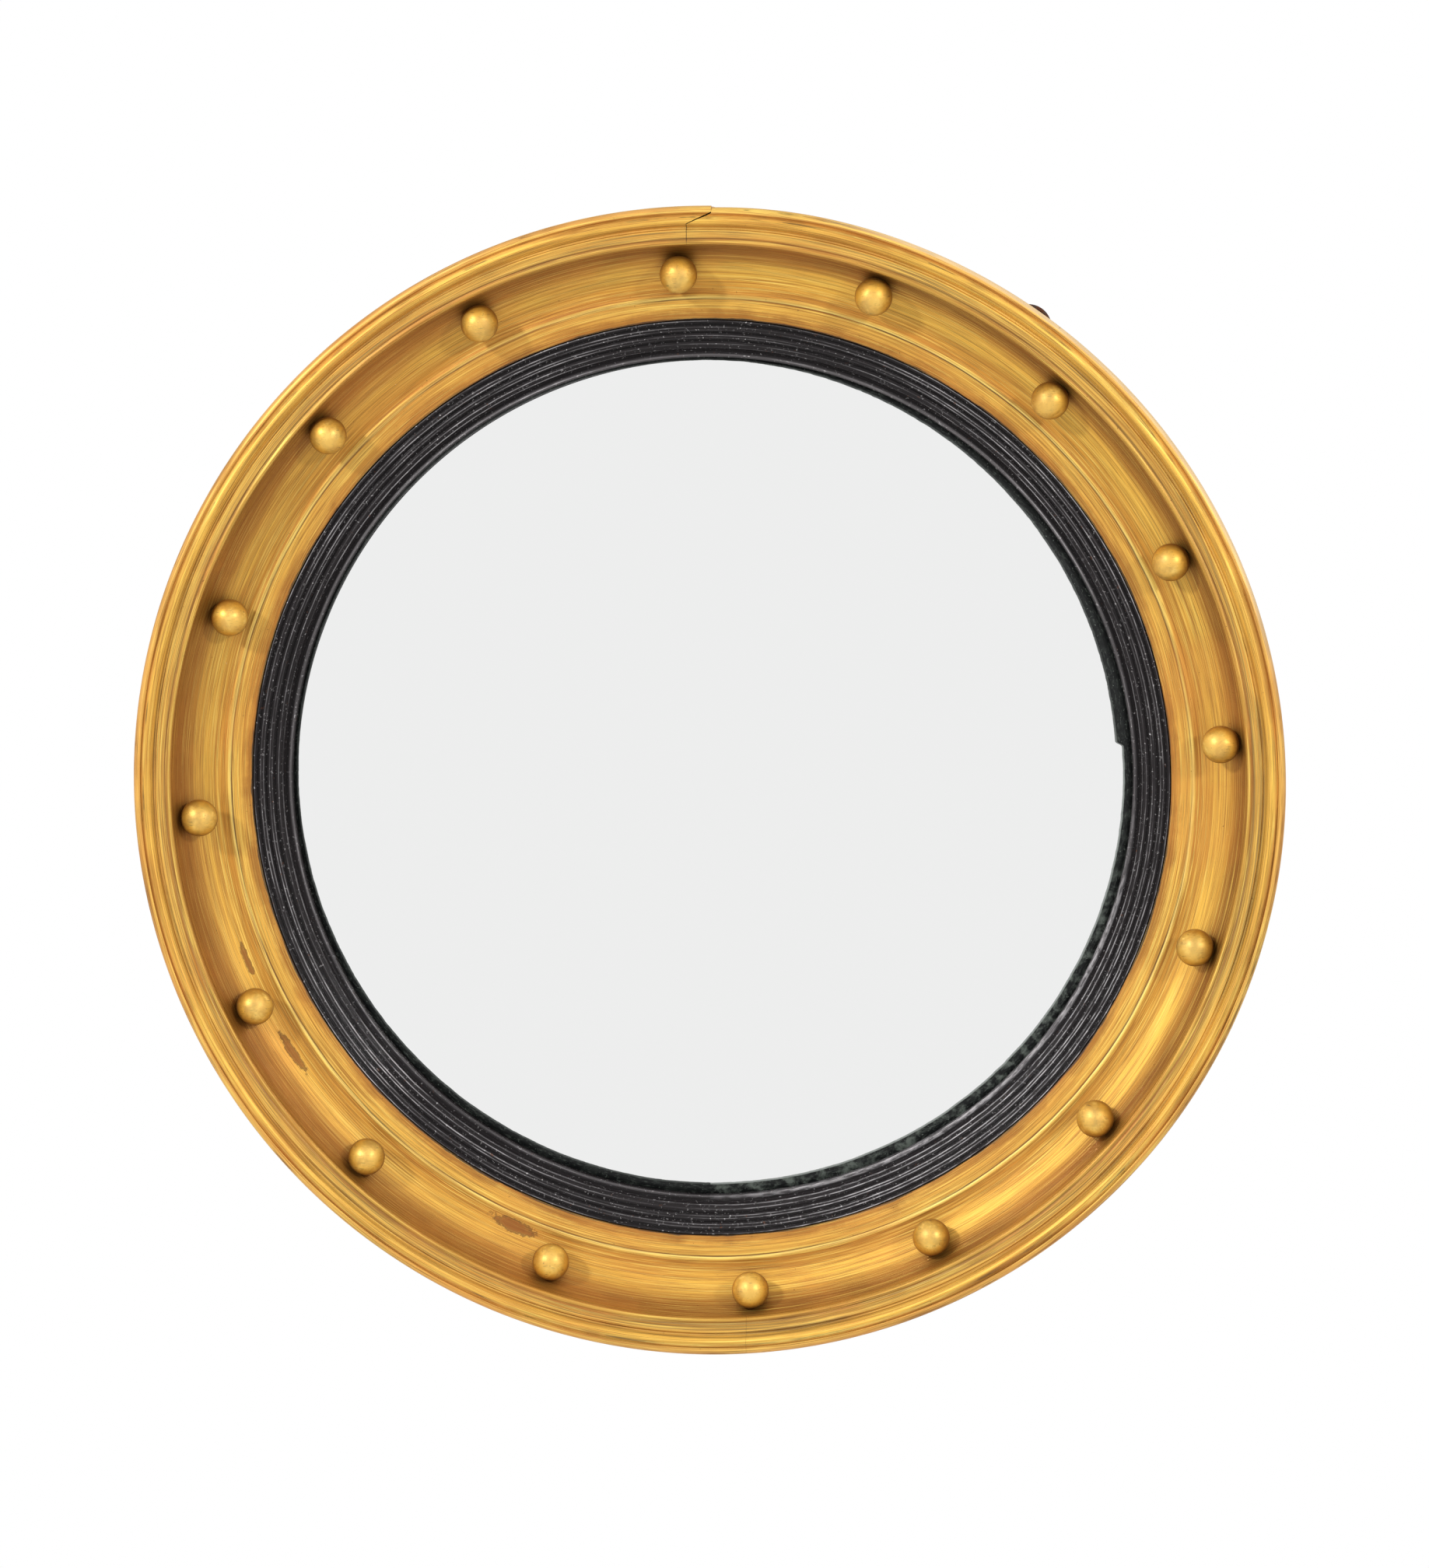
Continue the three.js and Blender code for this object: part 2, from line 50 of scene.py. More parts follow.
def placeCamera(look):
    turn, rise = math.radians(look["turn"]), math.radians(look["rise"])
    right = Vector((math.cos(turn), math.sin(turn), 0))
    back = Vector((math.sin(turn) * math.cos(rise), -math.cos(turn) * math.cos(rise), math.sin(rise)))
    lens = bpy.data.cameras.new("camera")
    lens.lens, lens.sensor_width = look["lens"], look["sensor"]
    lens.shift_x, lens.shift_y = look["shift"]
    eye = bpy.data.objects.new("camera", lens)
    eye.matrix_world = Matrix.Translation(Vector(look["aim"]) + back * look["distance"]) @ Matrix(
        (right, back.cross(right), back)).transposed().to_4x4()
    scene.collection.objects.link(eye)
    scene.camera = eye


placeCamera(camera)


# Node work. A socket is set from a plain value or linked from another node's socket.
def feed(tree, node, sockets):
    for name, value in sockets.items():
        if isinstance(value, bpy.types.NodeSocket):
            tree.links.new(value, node.inputs[name])
        else:
            node.inputs[name].default_value = value


def put(tree, kind, settings=None, sockets=None):
    made = tree.nodes.new("ShaderNode" + kind)
    for name, value in (settings or {}).items():
        setattr(made, name, value)
    feed(tree, made, sockets or {})
    return made


def calc(tree, operation, first, second=0.0, third=0.0):
    return put(tree, "Math", {"operation": operation}, {0: first, 1: second, 2: third}).outputs[0]


def between(tree, value, low, high, toLow=0.0, toHigh=1.0):
    made = put(tree, "MapRange", {"interpolation_type": "SMOOTHSTEP"},
               {"Value": value, "From Min": low, "From Max": high, "To Min": toLow, "To Max": toHigh})
    return made.outputs[0]


def blendColours(tree, share, first, second):
    made = put(tree, "Mix", {"data_type": "RGBA", "clamp_factor": True}, {0: share, 6: first, 7: second})
    return made.outputs[2]


def ramp(tree, value, stops):
    made = put(tree, "ValToRGB", {}, {0: value})
    line = made.color_ramp
    while len(line.elements) < len(stops):
        line.elements.new(0.5)  # where it starts doesn't matter
    for element, (position, _) in zip(line.elements, stops):
        element.position = position
    for element, (_, colour) in zip(line.elements, stops):
        element.color = colour
    return made.outputs[0]


def paint(red, green, blue):
    parts = [c / 255 for c in (red, green, blue)]
    return tuple(c / 12.92 if c <= 0.04045 else ((c + 0.055) / 1.055) ** 2.4 for c in parts) + (1.0,)


def newGroup(name, inputs, outputs):
    tree = bpy.data.node_groups.new(name, "ShaderNodeTree")
    for label, kind, value in inputs:
        socket = tree.interface.new_socket(name=label, in_out="INPUT", socket_type="NodeSocket" + kind)
        if value is not None:
            socket.default_value = value
    for label, kind in outputs:
        tree.interface.new_socket(name=label, in_out="OUTPUT", socket_type="NodeSocket" + kind)
    return tree, tree.nodes.new("NodeGroupInput"), tree.nodes.new("NodeGroupOutput")


def useGroup(tree, group, sockets):
    return put(tree, "Group", {"node_tree": group}, sockets)


# Where a point lies on the turned frame: its distance from the axis in mm, and its clock angle in degrees.
def makeTurnedPlace():
    tree, start, end = newGroup("turned place", [("Place", "Vector", None)],
                                [("Radius", "Float"), ("Clock", "Float")])
    parts = put(tree, "SeparateXYZ", {}, {0: start.outputs["Place"]})
    flat = put(tree, "CombineXYZ", {}, {0: parts.outputs[0], 2: parts.outputs[2]})
    length = put(tree, "VectorMath", {"operation": "LENGTH"}, {0: flat.outputs[0]})
    tree.links.new(calc(tree, "MULTIPLY", length.outputs["Value"], 1 / mm), end.inputs["Radius"])
    angle = calc(tree, "ARCTAN2", parts.outputs[0], parts.outputs[2])
    tree.links.new(calc(tree, "MULTIPLY", angle, 180 / math.pi), end.inputs["Clock"])
    return tree


# Fine lines that run round the frame, as a brush or scraper leaves them. A higher Run makes them shorter,
# and a higher Pitch finer.
def makeBrushLines():
    tree, start, end = newGroup(
        "brush lines", [("Place", "Vector", None), ("Run", "Float", 9.0), ("Pitch", "Float", 1.2),
                        ("Detail", "Float", 3.0)], [("Mask", "Float")])
    parts = put(tree, "SeparateXYZ", {}, {0: start.outputs["Place"]})
    flat = put(tree, "CombineXYZ", {}, {0: parts.outputs[0], 2: parts.outputs[2]})
    length = put(tree, "VectorMath", {"operation": "LENGTH"}, {0: flat.outputs[0]})
    aim = put(tree, "VectorMath", {"operation": "NORMALIZE"}, {0: flat.outputs[0]})
    spread = put(tree, "VectorMath", {"operation": "SCALE"},
                 {0: aim.outputs[0], "Scale": start.outputs["Run"]})
    sides = put(tree, "SeparateXYZ", {}, {0: spread.outputs[0]})
    outward = calc(tree, "MULTIPLY", length.outputs["Value"], 1 / mm)
    outward = calc(tree, "SUBTRACT", outward, calc(tree, "MULTIPLY", parts.outputs[1], 1 / mm))
    across = calc(tree, "MULTIPLY", outward, start.outputs["Pitch"])
    where = put(tree, "CombineXYZ", {}, {0: sides.outputs[0], 1: across, 2: sides.outputs[2]})
    grain = put(tree, "TexNoise", {}, {"Vector": where.outputs[0], "Scale": 1.0,
                                       "Detail": start.outputs["Detail"], "Roughness": 0.6})
    tree.links.new(grain.outputs["Fac"], end.inputs["Mask"])
    return tree


# Small spots where the surface is pitted or flecked.
def makeFlecks():
    tree, start, end = newGroup(
        "flecks", [("Place", "Vector", None), ("Scale", "Float", 400.0), ("Cover", "Float", 0.3),
                   ("Softness", "Float", 0.08)], [("Mask", "Float")])
    grain = put(tree, "TexNoise", {}, {"Vector": start.outputs["Place"], "Scale": start.outputs["Scale"],
                                       "Detail": 4.0, "Roughness": 0.65})
    top = calc(tree, "SUBTRACT", 1.0, start.outputs["Cover"])
    low = calc(tree, "SUBTRACT", top, start.outputs["Softness"])
    tree.links.new(between(tree, grain.outputs["Fac"], low, top), end.inputs["Mask"])
    return tree


# Soft blotches, for haze, handling and old varnish.
def makeBlotches():
    tree, start, end = newGroup(
        "blotches", [("Place", "Vector", None), ("Scale", "Float", 20.0), ("Low", "Float", 0.4),
                     ("High", "Float", 0.6)], [("Mask", "Float")])
    grain = put(tree, "TexNoise", {}, {"Vector": start.outputs["Place"], "Scale": start.outputs["Scale"],
                                       "Detail": 5.0, "Roughness": 0.6, "Distortion": 0.4})
    tree.links.new(between(tree, grain.outputs["Fac"], start.outputs["Low"], start.outputs["High"]),
                   end.inputs["Mask"])
    return tree


# One worn patch at a clock angle and radius, which fades out from its middle to a ragged edge.
patchEdge = {"scale": 260.0, "raggedness": 1.6, "fade": (1.9, 1.2)}


def makePatch():
    tree, start, end = newGroup(
        "worn patch", [("Place", "Vector", None), ("Radius", "Float", 240.0), ("Clock", "Float", 0.0),
                       ("At Radius", "Float", 240.0), ("At Clock", "Float", 0.0), ("Across", "Float", 4.0),
                       ("Along", "Float", 10.0)], [("Mask", "Float")])
    outward = calc(tree, "SUBTRACT", start.outputs["Radius"], start.outputs["At Radius"])
    outward = calc(tree, "DIVIDE", outward, start.outputs["Across"])
    turn = calc(tree, "SUBTRACT", start.outputs["Clock"], start.outputs["At Clock"])
    turn = calc(tree, "WRAP", turn, 180.0, -180.0)
    along = calc(tree, "MULTIPLY", turn, start.outputs["At Radius"])
    along = calc(tree, "DIVIDE", along, start.outputs["Along"])
    along = calc(tree, "MULTIPLY", along, math.pi / 180)
    far = calc(tree, "SQRT", calc(tree, "ADD", calc(tree, "MULTIPLY", outward, outward),
                                  calc(tree, "MULTIPLY", along, along)))
    grain = put(tree, "TexNoise", {}, {"Vector": start.outputs["Place"], "Scale": patchEdge["scale"],
                                       "Detail": 5.0, "Roughness": 0.7})
    ragged = calc(tree, "MULTIPLY_ADD", grain.outputs["Fac"], patchEdge["raggedness"], far)
    tree.links.new(between(tree, ragged, *patchEdge["fade"]), end.inputs["Mask"])
    return tree


turnedPlace = makeTurnedPlace()
brushLines = makeBrushLines()
flecks = makeFlecks()
blotches = makeBlotches()
wornPatch = makePatch()


def newMaterial(name):
    material = bpy.data.materials.new(name)
    material.use_nodes = True
    tree = material.node_tree
    tree.nodes.clear()
    shader = put(tree, "BsdfPrincipled")
    put(tree, "OutputMaterial", {"is_active_output": True}, {"Surface": shader.outputs[0]})
    place = put(tree, "TexCoord").outputs["Object"]
    return material, tree, shader, place


def bumped(tree, height, row):
    distance, strength = row
    return put(tree, "Bump", {}, {"Height": height, "Distance": distance, "Strength": strength}).outputs[0]


# The next three make a mask from a row of settings. A row of lines gives their run, pitch and detail, and
# where the mask starts and is full.
def linesBy(tree, place, row):
    run, pitch, detail, low, high = row
    lines = useGroup(tree, brushLines, {"Place": place, "Run": run, "Pitch": pitch, "Detail": detail})
    return between(tree, lines.outputs[0], low, high), lines.outputs[0]


# A row of blotches gives their scale, and where the mask starts and is full.
def blotchesBy(tree, place, row):
    scale, low, high = row
    return useGroup(tree, blotches, {"Place": place, "Scale": scale, "Low": low, "High": high}).outputs[0]


# A row of flecks gives their scale, how much they cover and how soft they are.
def flecksBy(tree, place, row):
    scale, cover, softness = row
    spots = useGroup(tree, flecks, {"Place": place, "Scale": scale, "Cover": cover, "Softness": softness})
    return spots.outputs[0]


# A row of scaling gives a factor and what is added.
def scaled(tree, value, row):
    factor, added = row
    return calc(tree, "MULTIPLY_ADD", value, factor, added)


def times(tree, *values):
    product = values[0]
    for value in values[1:]:
        product = calc(tree, "MULTIPLY", product, value)
    return product


def tint(tree, tone, mask, share, colour):
    return blendColours(tree, times(tree, mask, share), tone, colour)


# Fades in between two values and out again between two more.
def window(tree, value, start, full, last, end):
    rise = between(tree, value, start, full)
    fall = between(tree, value, last, end, 1.0, 0.0)
    return times(tree, rise, fall)


def apart(tree, value, middle):
    return calc(tree, "ABSOLUTE", calc(tree, "SUBTRACT", value, middle))


# Swings from 1 at one clock angle to -1 and back, as often as turns says.
def swing(tree, clock, angle, turns=1):
    turned = times(tree, calc(tree, "SUBTRACT", clock, angle), turns * math.pi / 180)
    return calc(tree, "COSINE", turned)


# Colours across the mouldings, from stops in mm from the axis.
def rampAcross(tree, radius, stops):
    low, high = stops[0][0], stops[-1][0]
    across = calc(tree, "DIVIDE", calc(tree, "SUBTRACT", radius, low), high - low)
    return ramp(tree, across, [((r - low) / (high - low), colour) for r, colour in stops])


# Painted shade: the colour darkens in the creases, within reach of another surface.
occlusionShade = {"samples": 8, "fade": (0.75, 0.1)}


def paintedCreaseShade(tree, row):
    reach, share = row
    nearby = put(tree, "AmbientOcclusion", {"samples": occlusionShade["samples"]}, {"Distance": reach})
    return between(tree, nearby.outputs["AO"], *occlusionShade["fade"], 0.0, share)


# Gilding of the hoop and the frame ring. The tones run across the moulding from the slip to the rim. Radii
# are in mm and clocks in degrees from the top to the right. Shares say how strongly each mask colours the
# gold. A patch has its radius, its clock and how far it reaches across and along.
gilding = {
    # The tones hold painted light besides the gold's colour: a painted highlight on the bead and across the
    # middle of the hollow, and darker tones in the quirks, the grooves and the hollow towards the rim that
    # are partly dirt and partly painted shade.
    "tones": [
        (224.0, (96, 62, 32)), (226.2, (222, 160, 68)), (229.0, (222, 162, 66)), (232.5, (228, 174, 72)),
        (235.1, (222, 168, 70)), (235.4, (96, 60, 26)), (235.8, (84, 52, 24)), (236.15, (255, 224, 124)),
        (237.2, (238, 194, 90)), (237.8, (206, 148, 56)), (238.6, (196, 134, 48)), (240.2, (206, 144, 50)),
        (244.0, (222, 164, 62)), (248.0, (240, 188, 74)), (252.4, (250, 196, 80)), (255.6, (196, 138, 48)),
        (258.4, (144, 92, 26)), (260.7, (138, 88, 30)), (261.4, (216, 162, 66)), (262.8, (200, 152, 64)),
        (264.3, (132, 86, 36)), (264.9, (206, 156, 68)), (268.3, (238, 186, 84)), (269.3, (246, 194, 98)),
        (270.4, (252, 198, 88)), (273.8, (244, 192, 80)), (275.4, (250, 190, 92)), (276.2, (196, 138, 64)),
        (277.2, (238, 184, 90)), (279.4, (232, 174, 94)), (280.5, (214, 152, 84)),
    ],
    "brown": paint(160, 102, 32), "light": paint(255, 220, 110), "orange": paint(208, 134, 54),
    "olive": paint(138, 110, 60), "grimeAndShade": paint(70, 46, 22), "bole": paint(142, 82, 44),
    "dust": paint(255, 238, 196), "ebony": paint(34, 28, 28), "flankHighlight": paint(255, 226, 176),
    "lines": {
        "broad": (3.0, 0.5, 3.0, 0.44, 0.64), "middle": (4.6, 1.5, 4.0, 0.5, 0.68),
        "bright": (3.6, 1.1, 5.0, 0.5, 0.7), "thin": (7.0, 3.4, 4.0, 0.52, 0.7),
        "hairs": (9.0, 5.2, 3.0, 0.58, 0.66), "glint": (6.0, 4.1, 3.0, 0.55, 0.68),
        "smear": (3.4, 1.4, 4.0, 0.5, 0.62),
    },
    "wander": (14.0, 0.3, 0.7), "uneven": (34.0, 0.3, 0.7), "orangeSpots": (13.0, 0.46, 0.66),
    "pits": (620.0, 0.27, 0.03), "dustSpots": (900.0, 0.25, 0.02),
    "shares": {
        "broad": 0.5, "bright": 0.8, "middle": 0.8, "haze": 0.85, "orange": 0.34, "smear": 0.7, "thin": 0.45,
        "glint": 0.5, "hairs": 0.6, "flankHighlight": 0.7, "pits": 0.75, "dust": 0.6, "worn": 0.7, "outline": 0.5,
        "scarf": 0.6,
    },
    "sway": (0.4, -0.2),
    "shadeClock": 262.0, "shadeBand": (240.0, 259.0, 261.2, 262.0), "shadeShare": (-0.6, 1.0, 0.12, 0.75),
    "creep": (5.0, -3.6), "haze": (232.0, 227.4),
    "ragged": (1.2, -0.9), "blackEdge": (226.5, 226.1, 0.0, 0.9),
    "smearBand": (263.4, 264.6, 269.6, 272.4),
    "flankHighlightClocks": (8.0, 24.0, 66.0, 84.0), "flankHighlightRadius": (277.6, 278.8), "flankHighlightDepth": (-0.054, -0.058),
    "patches": [(241.6, 203.6, 3.6, 13.0), (245.6, 248.5, 1.6, 10.0), (246.8, 236.6, 2.2, 14.0)],
    "outline": (0.1, 0.4, 0.5, 0.9),
    "scarf": {"x": -8.5, "width": (0.3, 0.15), "radius": (262.0, 263.5, 271.2, 271.6), "above": (0.2, 0.201)},
    "paintedCreaseShade": (0.011, 0.55), "metal": 0.45, "roughness": (0.14, 0.43), "wornRoughness": 0.3,
    "fineDepth": 0.5, "relief": (0.0002, 0.5),
}


def makeGilding():
    look = gilding
    shares = look["shares"]
    material, tree, shader, place = newMaterial("gilding")
    spot = useGroup(tree, turnedPlace, {"Place": place})
    radius, clock = spot.outputs["Radius"], spot.outputs["Clock"]
    x, y, z = put(tree, "SeparateXYZ", {}, {0: place}).outputs
    masks = {name: linesBy(tree, place, row) for name, row in look["lines"].items()}
    lines, fine = masks["middle"][1], masks["thin"][1]
    wander = scaled(tree, blotchesBy(tree, place, look["wander"]), look["sway"])
    swayed = calc(tree, "ADD", radius, wander)
    # This ramp carries painted highlights and painted shade across the moulding as well as the gold's tone.
    tone = rampAcross(tree, swayed, [(r, paint(*colour)) for r, colour in look["tones"]])
    tone = tint(tree, tone, masks["broad"][0], shares["broad"], look["brown"])
    tone = tint(tree, tone, masks["bright"][0], shares["bright"], look["light"])
    tone = tint(tree, tone, masks["middle"][0], shares["middle"], look["brown"])
    # Painted shade: the hollow is darkened brown towards the rim, most on the left, where it faces away from
    # the light.
    deep = between(tree, swing(tree, clock, look["shadeClock"]), *look["shadeShare"])
    tone = tint(tree, tone, window(tree, radius, *look["shadeBand"]), deep, look["brown"])
    # Brown haze creeps over the gold from the black slip, and the black itself is ragged at its edge.
    uneven = blotchesBy(tree, place, look["uneven"])
    byLines, byBlotches = look["creep"]
    creep = calc(tree, "MULTIPLY_ADD", lines, byLines, calc(tree, "MULTIPLY_ADD", uneven, byBlotches, radius))
    tone = tint(tree, tone, between(tree, creep, *look["haze"]), shares["haze"], look["brown"])
    byLines, byBlotches = look["ragged"]
    ragged = calc(tree, "MULTIPLY_ADD", uneven, byBlotches, calc(tree, "MULTIPLY_ADD", fine, byLines, radius))
    tone = blendColours(tree, between(tree, ragged, *look["blackEdge"]), tone, look["ebony"])
    tone = tint(tree, tone, blotchesBy(tree, place, look["orangeSpots"]), shares["orange"], look["orange"])
    smear = times(tree, masks["smear"][0], window(tree, radius, *look["smearBand"]))
    tone = tint(tree, tone, smear, shares["smear"], look["olive"])
    tone = tint(tree, tone, masks["thin"][0], shares["thin"], look["grimeAndShade"])
    tone = tint(tree, tone, masks["glint"][0], shares["glint"], look["light"])
    tone = tint(tree, tone, masks["hairs"][0], shares["hairs"], look["grimeAndShade"])
    # A painted highlight lies on the rim's outer flank at the upper right.
    pale = times(tree, window(tree, clock, *look["flankHighlightClocks"]), between(tree, radius, *look["flankHighlightRadius"]),
                 between(tree, y, *look["flankHighlightDepth"]))
    tone = tint(tree, tone, pale, shares["flankHighlight"], look["flankHighlight"])
    pits = flecksBy(tree, place, look["pits"])
    tone = tint(tree, tone, pits, shares["pits"], look["grimeAndShade"])
    tone = tint(tree, tone, flecksBy(tree, place, look["dustSpots"]), shares["dust"], look["dust"])
    worn = None
    for atRadius, atClock, wide, long in look["patches"]:
        mask = useGroup(tree, wornPatch, {"Place": place, "Radius": radius, "Clock": clock,
                                          "At Radius": atRadius, "At Clock": atClock, "Across": wide,
                                          "Along": long}).outputs[0]
        worn = mask if worn is None else calc(tree, "MAXIMUM", worn, mask)
    tone = tint(tree, tone, worn, shares["worn"], look["bole"])
    tone = tint(tree, tone, window(tree, worn, *look["outline"]), shares["outline"], look["grimeAndShade"])
    # The scarf at the top shows as a fine line down through the reeds.
    joint = look["scarf"]
    start, full = joint["width"]
    scarf = times(tree, between(tree, apart(tree, x, joint["x"] * mm), start * mm, full * mm),
                  window(tree, radius, *joint["radius"]), between(tree, z, *joint["above"]))
    tone = tint(tree, tone, scarf, shares["scarf"], look["grimeAndShade"])
    # Painted shade in the creases, in the grime colour.
    tone = blendColours(tree, paintedCreaseShade(tree, look["paintedCreaseShade"]), tone, look["grimeAndShade"])
    rough = scaled(tree, lines, look["roughness"])
    rough = calc(tree, "MULTIPLY_ADD", calc(tree, "MAXIMUM", pits, worn), look["wornRoughness"], rough)
    dip = calc(tree, "SUBTRACT", calc(tree, "MULTIPLY_ADD", fine, look["fineDepth"], lines), pits)
    feed(tree, shader, {"Base Color": tone, "Metallic": look["metal"], "Roughness": rough,
                        "Normal": bumped(tree, dip, look["relief"])})
    return material


# Gilding of the balls. The front of each ball carries a painted highlight, and its sides carry painted shade,
# most towards the back and the hoop.
ballGilding = {
    "gold": paint(232, 178, 70), "brown": paint(184, 126, 44), "light": paint(252, 212, 108),
    "olive": paint(150, 120, 56), "grimeAndShade": paint(80, 54, 28), "rim": paint(118, 72, 14),
    "crown": paint(250, 218, 136),
    "cloudy": (130.0, 0.42, 0.66), "dull": (70.0, 0.46, 0.64), "pale": (150.0, 0.5, 0.72),
    "wispScale": (300.0, 300.0, 1500.0), "scratches": (0.6, 0.75, 0.0, 0.5), "pits": (900.0, 0.3, 0.05),
    "shares": {"cloudy": 0.6, "dull": 0.42, "pale": 0.6, "pits": 0.6},
    "hoopSideShade": 0.3, "sideShadeFade": (-0.72, -0.1, 0.0, 0.8), "frontHighlightFade": (-0.7, -1.05, 0.0, 0.27),
    "paintedCreaseShade": (0.006, 0.6), "metal": 0.5, "roughness": (0.12, 0.42), "relief": (0.00012, 0.5),
}


def makeBallGilding():
    look = ballGilding
    shares = look["shares"]
    material, tree, shader, place = newMaterial("ballGilding")
    cloudy = blotchesBy(tree, place, look["cloudy"])
    wisps = put(tree, "Mapping", {}, {"Vector": place, "Scale": look["wispScale"]}).outputs[0]
    scratches = put(tree, "TexNoise", {}, {"Vector": wisps, "Scale": 1.0, "Detail": 3.0}).outputs["Fac"]
    tone = tint(tree, look["gold"], cloudy, shares["cloudy"], look["brown"])
    tone = tint(tree, tone, blotchesBy(tree, place, look["dull"]), shares["dull"], look["olive"])
    tone = tint(tree, tone, blotchesBy(tree, place, look["pale"]), shares["pale"], look["light"])
    tone = blendColours(tree, between(tree, scratches, *look["scratches"]), tone, look["grimeAndShade"])
    pits = flecksBy(tree, place, look["pits"])
    tone = tint(tree, tone, pits, shares["pits"], look["grimeAndShade"])
    # How far a spot faces the back, and a little how far it faces the hoop; the sides that do are painted in
    # shade, and the front gets a painted highlight.
    normal = put(tree, "TexCoord").outputs["Normal"]
    backward = put(tree, "SeparateXYZ", {}, {0: normal}).outputs[1]
    flat = put(tree, "VectorMath", {"operation": "MULTIPLY"}, {0: place, 1: (1.0, 0.0, 1.0)}).outputs[0]
    outward = put(tree, "VectorMath", {"operation": "NORMALIZE"}, {0: flat}).outputs[0]
    outer = put(tree, "VectorMath", {"operation": "DOT_PRODUCT"}, {0: normal, 1: outward}).outputs["Value"]
    side = calc(tree, "MULTIPLY_ADD", outer, look["hoopSideShade"], backward)
    tone = blendColours(tree, between(tree, side, *look["sideShadeFade"]), tone, look["rim"])
    tone = blendColours(tree, between(tree, side, *look["frontHighlightFade"]), tone, look["crown"])
    # Painted shade in the creases, in the grime colour.
    tone = blendColours(tree, paintedCreaseShade(tree, look["paintedCreaseShade"]), tone, look["grimeAndShade"])
    dip = calc(tree, "SUBTRACT", scratches, pits)
    feed(tree, shader, {"Base Color": tone, "Metallic": look["metal"],
                        "Roughness": scaled(tree, cloudy, look["roughness"]),
                        "Normal": bumped(tree, dip, look["relief"])})
    return material


# Ebonised slip. Its reeds carry painted highlights along their crests and painted shade in between, and the
# tones put a painted highlight on the inner bead. The tones are grey levels across the reeds, and hue is what
# each colour channel adds to them.
ebonising = {
    "tones": [
        (206.0, 20), (207.2, 26), (207.9, 96), (208.6, 104), (209.3, 42), (210.2, 16), (211.0, 36),
        (212.4, 38), (213.8, 42), (214.8, 32), (215.4, 7), (216.0, 32), (217.7, 42), (218.7, 32), (219.3, 7),
        (219.9, 34), (221.6, 42), (222.6, 30), (223.2, 7), (223.8, 30), (224.8, 42), (225.4, 24),
    ],
    "hue": (2, -2, -1), "pale": paint(222, 218, 220), "chip": paint(136, 84, 54), "dark": paint(9, 8, 8),
    "speck": paint(230, 226, 226),
    "wander": (16.0, 0.3, 0.7), "sway": (0.3, -0.15),
    "lines": {
        "ridges": (2.4, 1.9, 3.0, 0.42, 0.6), "slow": (4.0, 0.24, 2.0, 0.4, 0.62),
        "quick": (34.0, 1.6, 4.0, 0.42, 0.6),
    },
    "crests": (208.4, 211.9, 213.8, 216.7, 217.9, 220.5, 221.9, 224.8), "crestFade": (0.34, 0.04, 0.0, 0.85),
    "slowHighlight": (0.85, 0.15), "quickHighlight": (0.6, 0.4),
    "highlightClock": 50.0, "highlightTurns": 4, "highlightSwing": (0.38, 0.62),
    "beadClock": 138.0, "beadReach": (50.0, 20.0), "beadBand": (206.8, 207.8, 208.6, 210.0),
    "beadHighlight": (0.6, 0.12),
    "chips": (300.0, 0.3, 0.03), "specks": (740.0, 0.345, 0.03), "onCrests": (0.0, 1.0, 0.25, 1.0),
    "shares": {"ridges": 0.5, "lowerRightHighlight": 0.6, "chips": 0.75, "specks": 0.85},
    "roughness": (0.3, 0.11), "chipDepth": 0.6, "gloss": 0.12, "relief": (0.0005, 0.8),
}


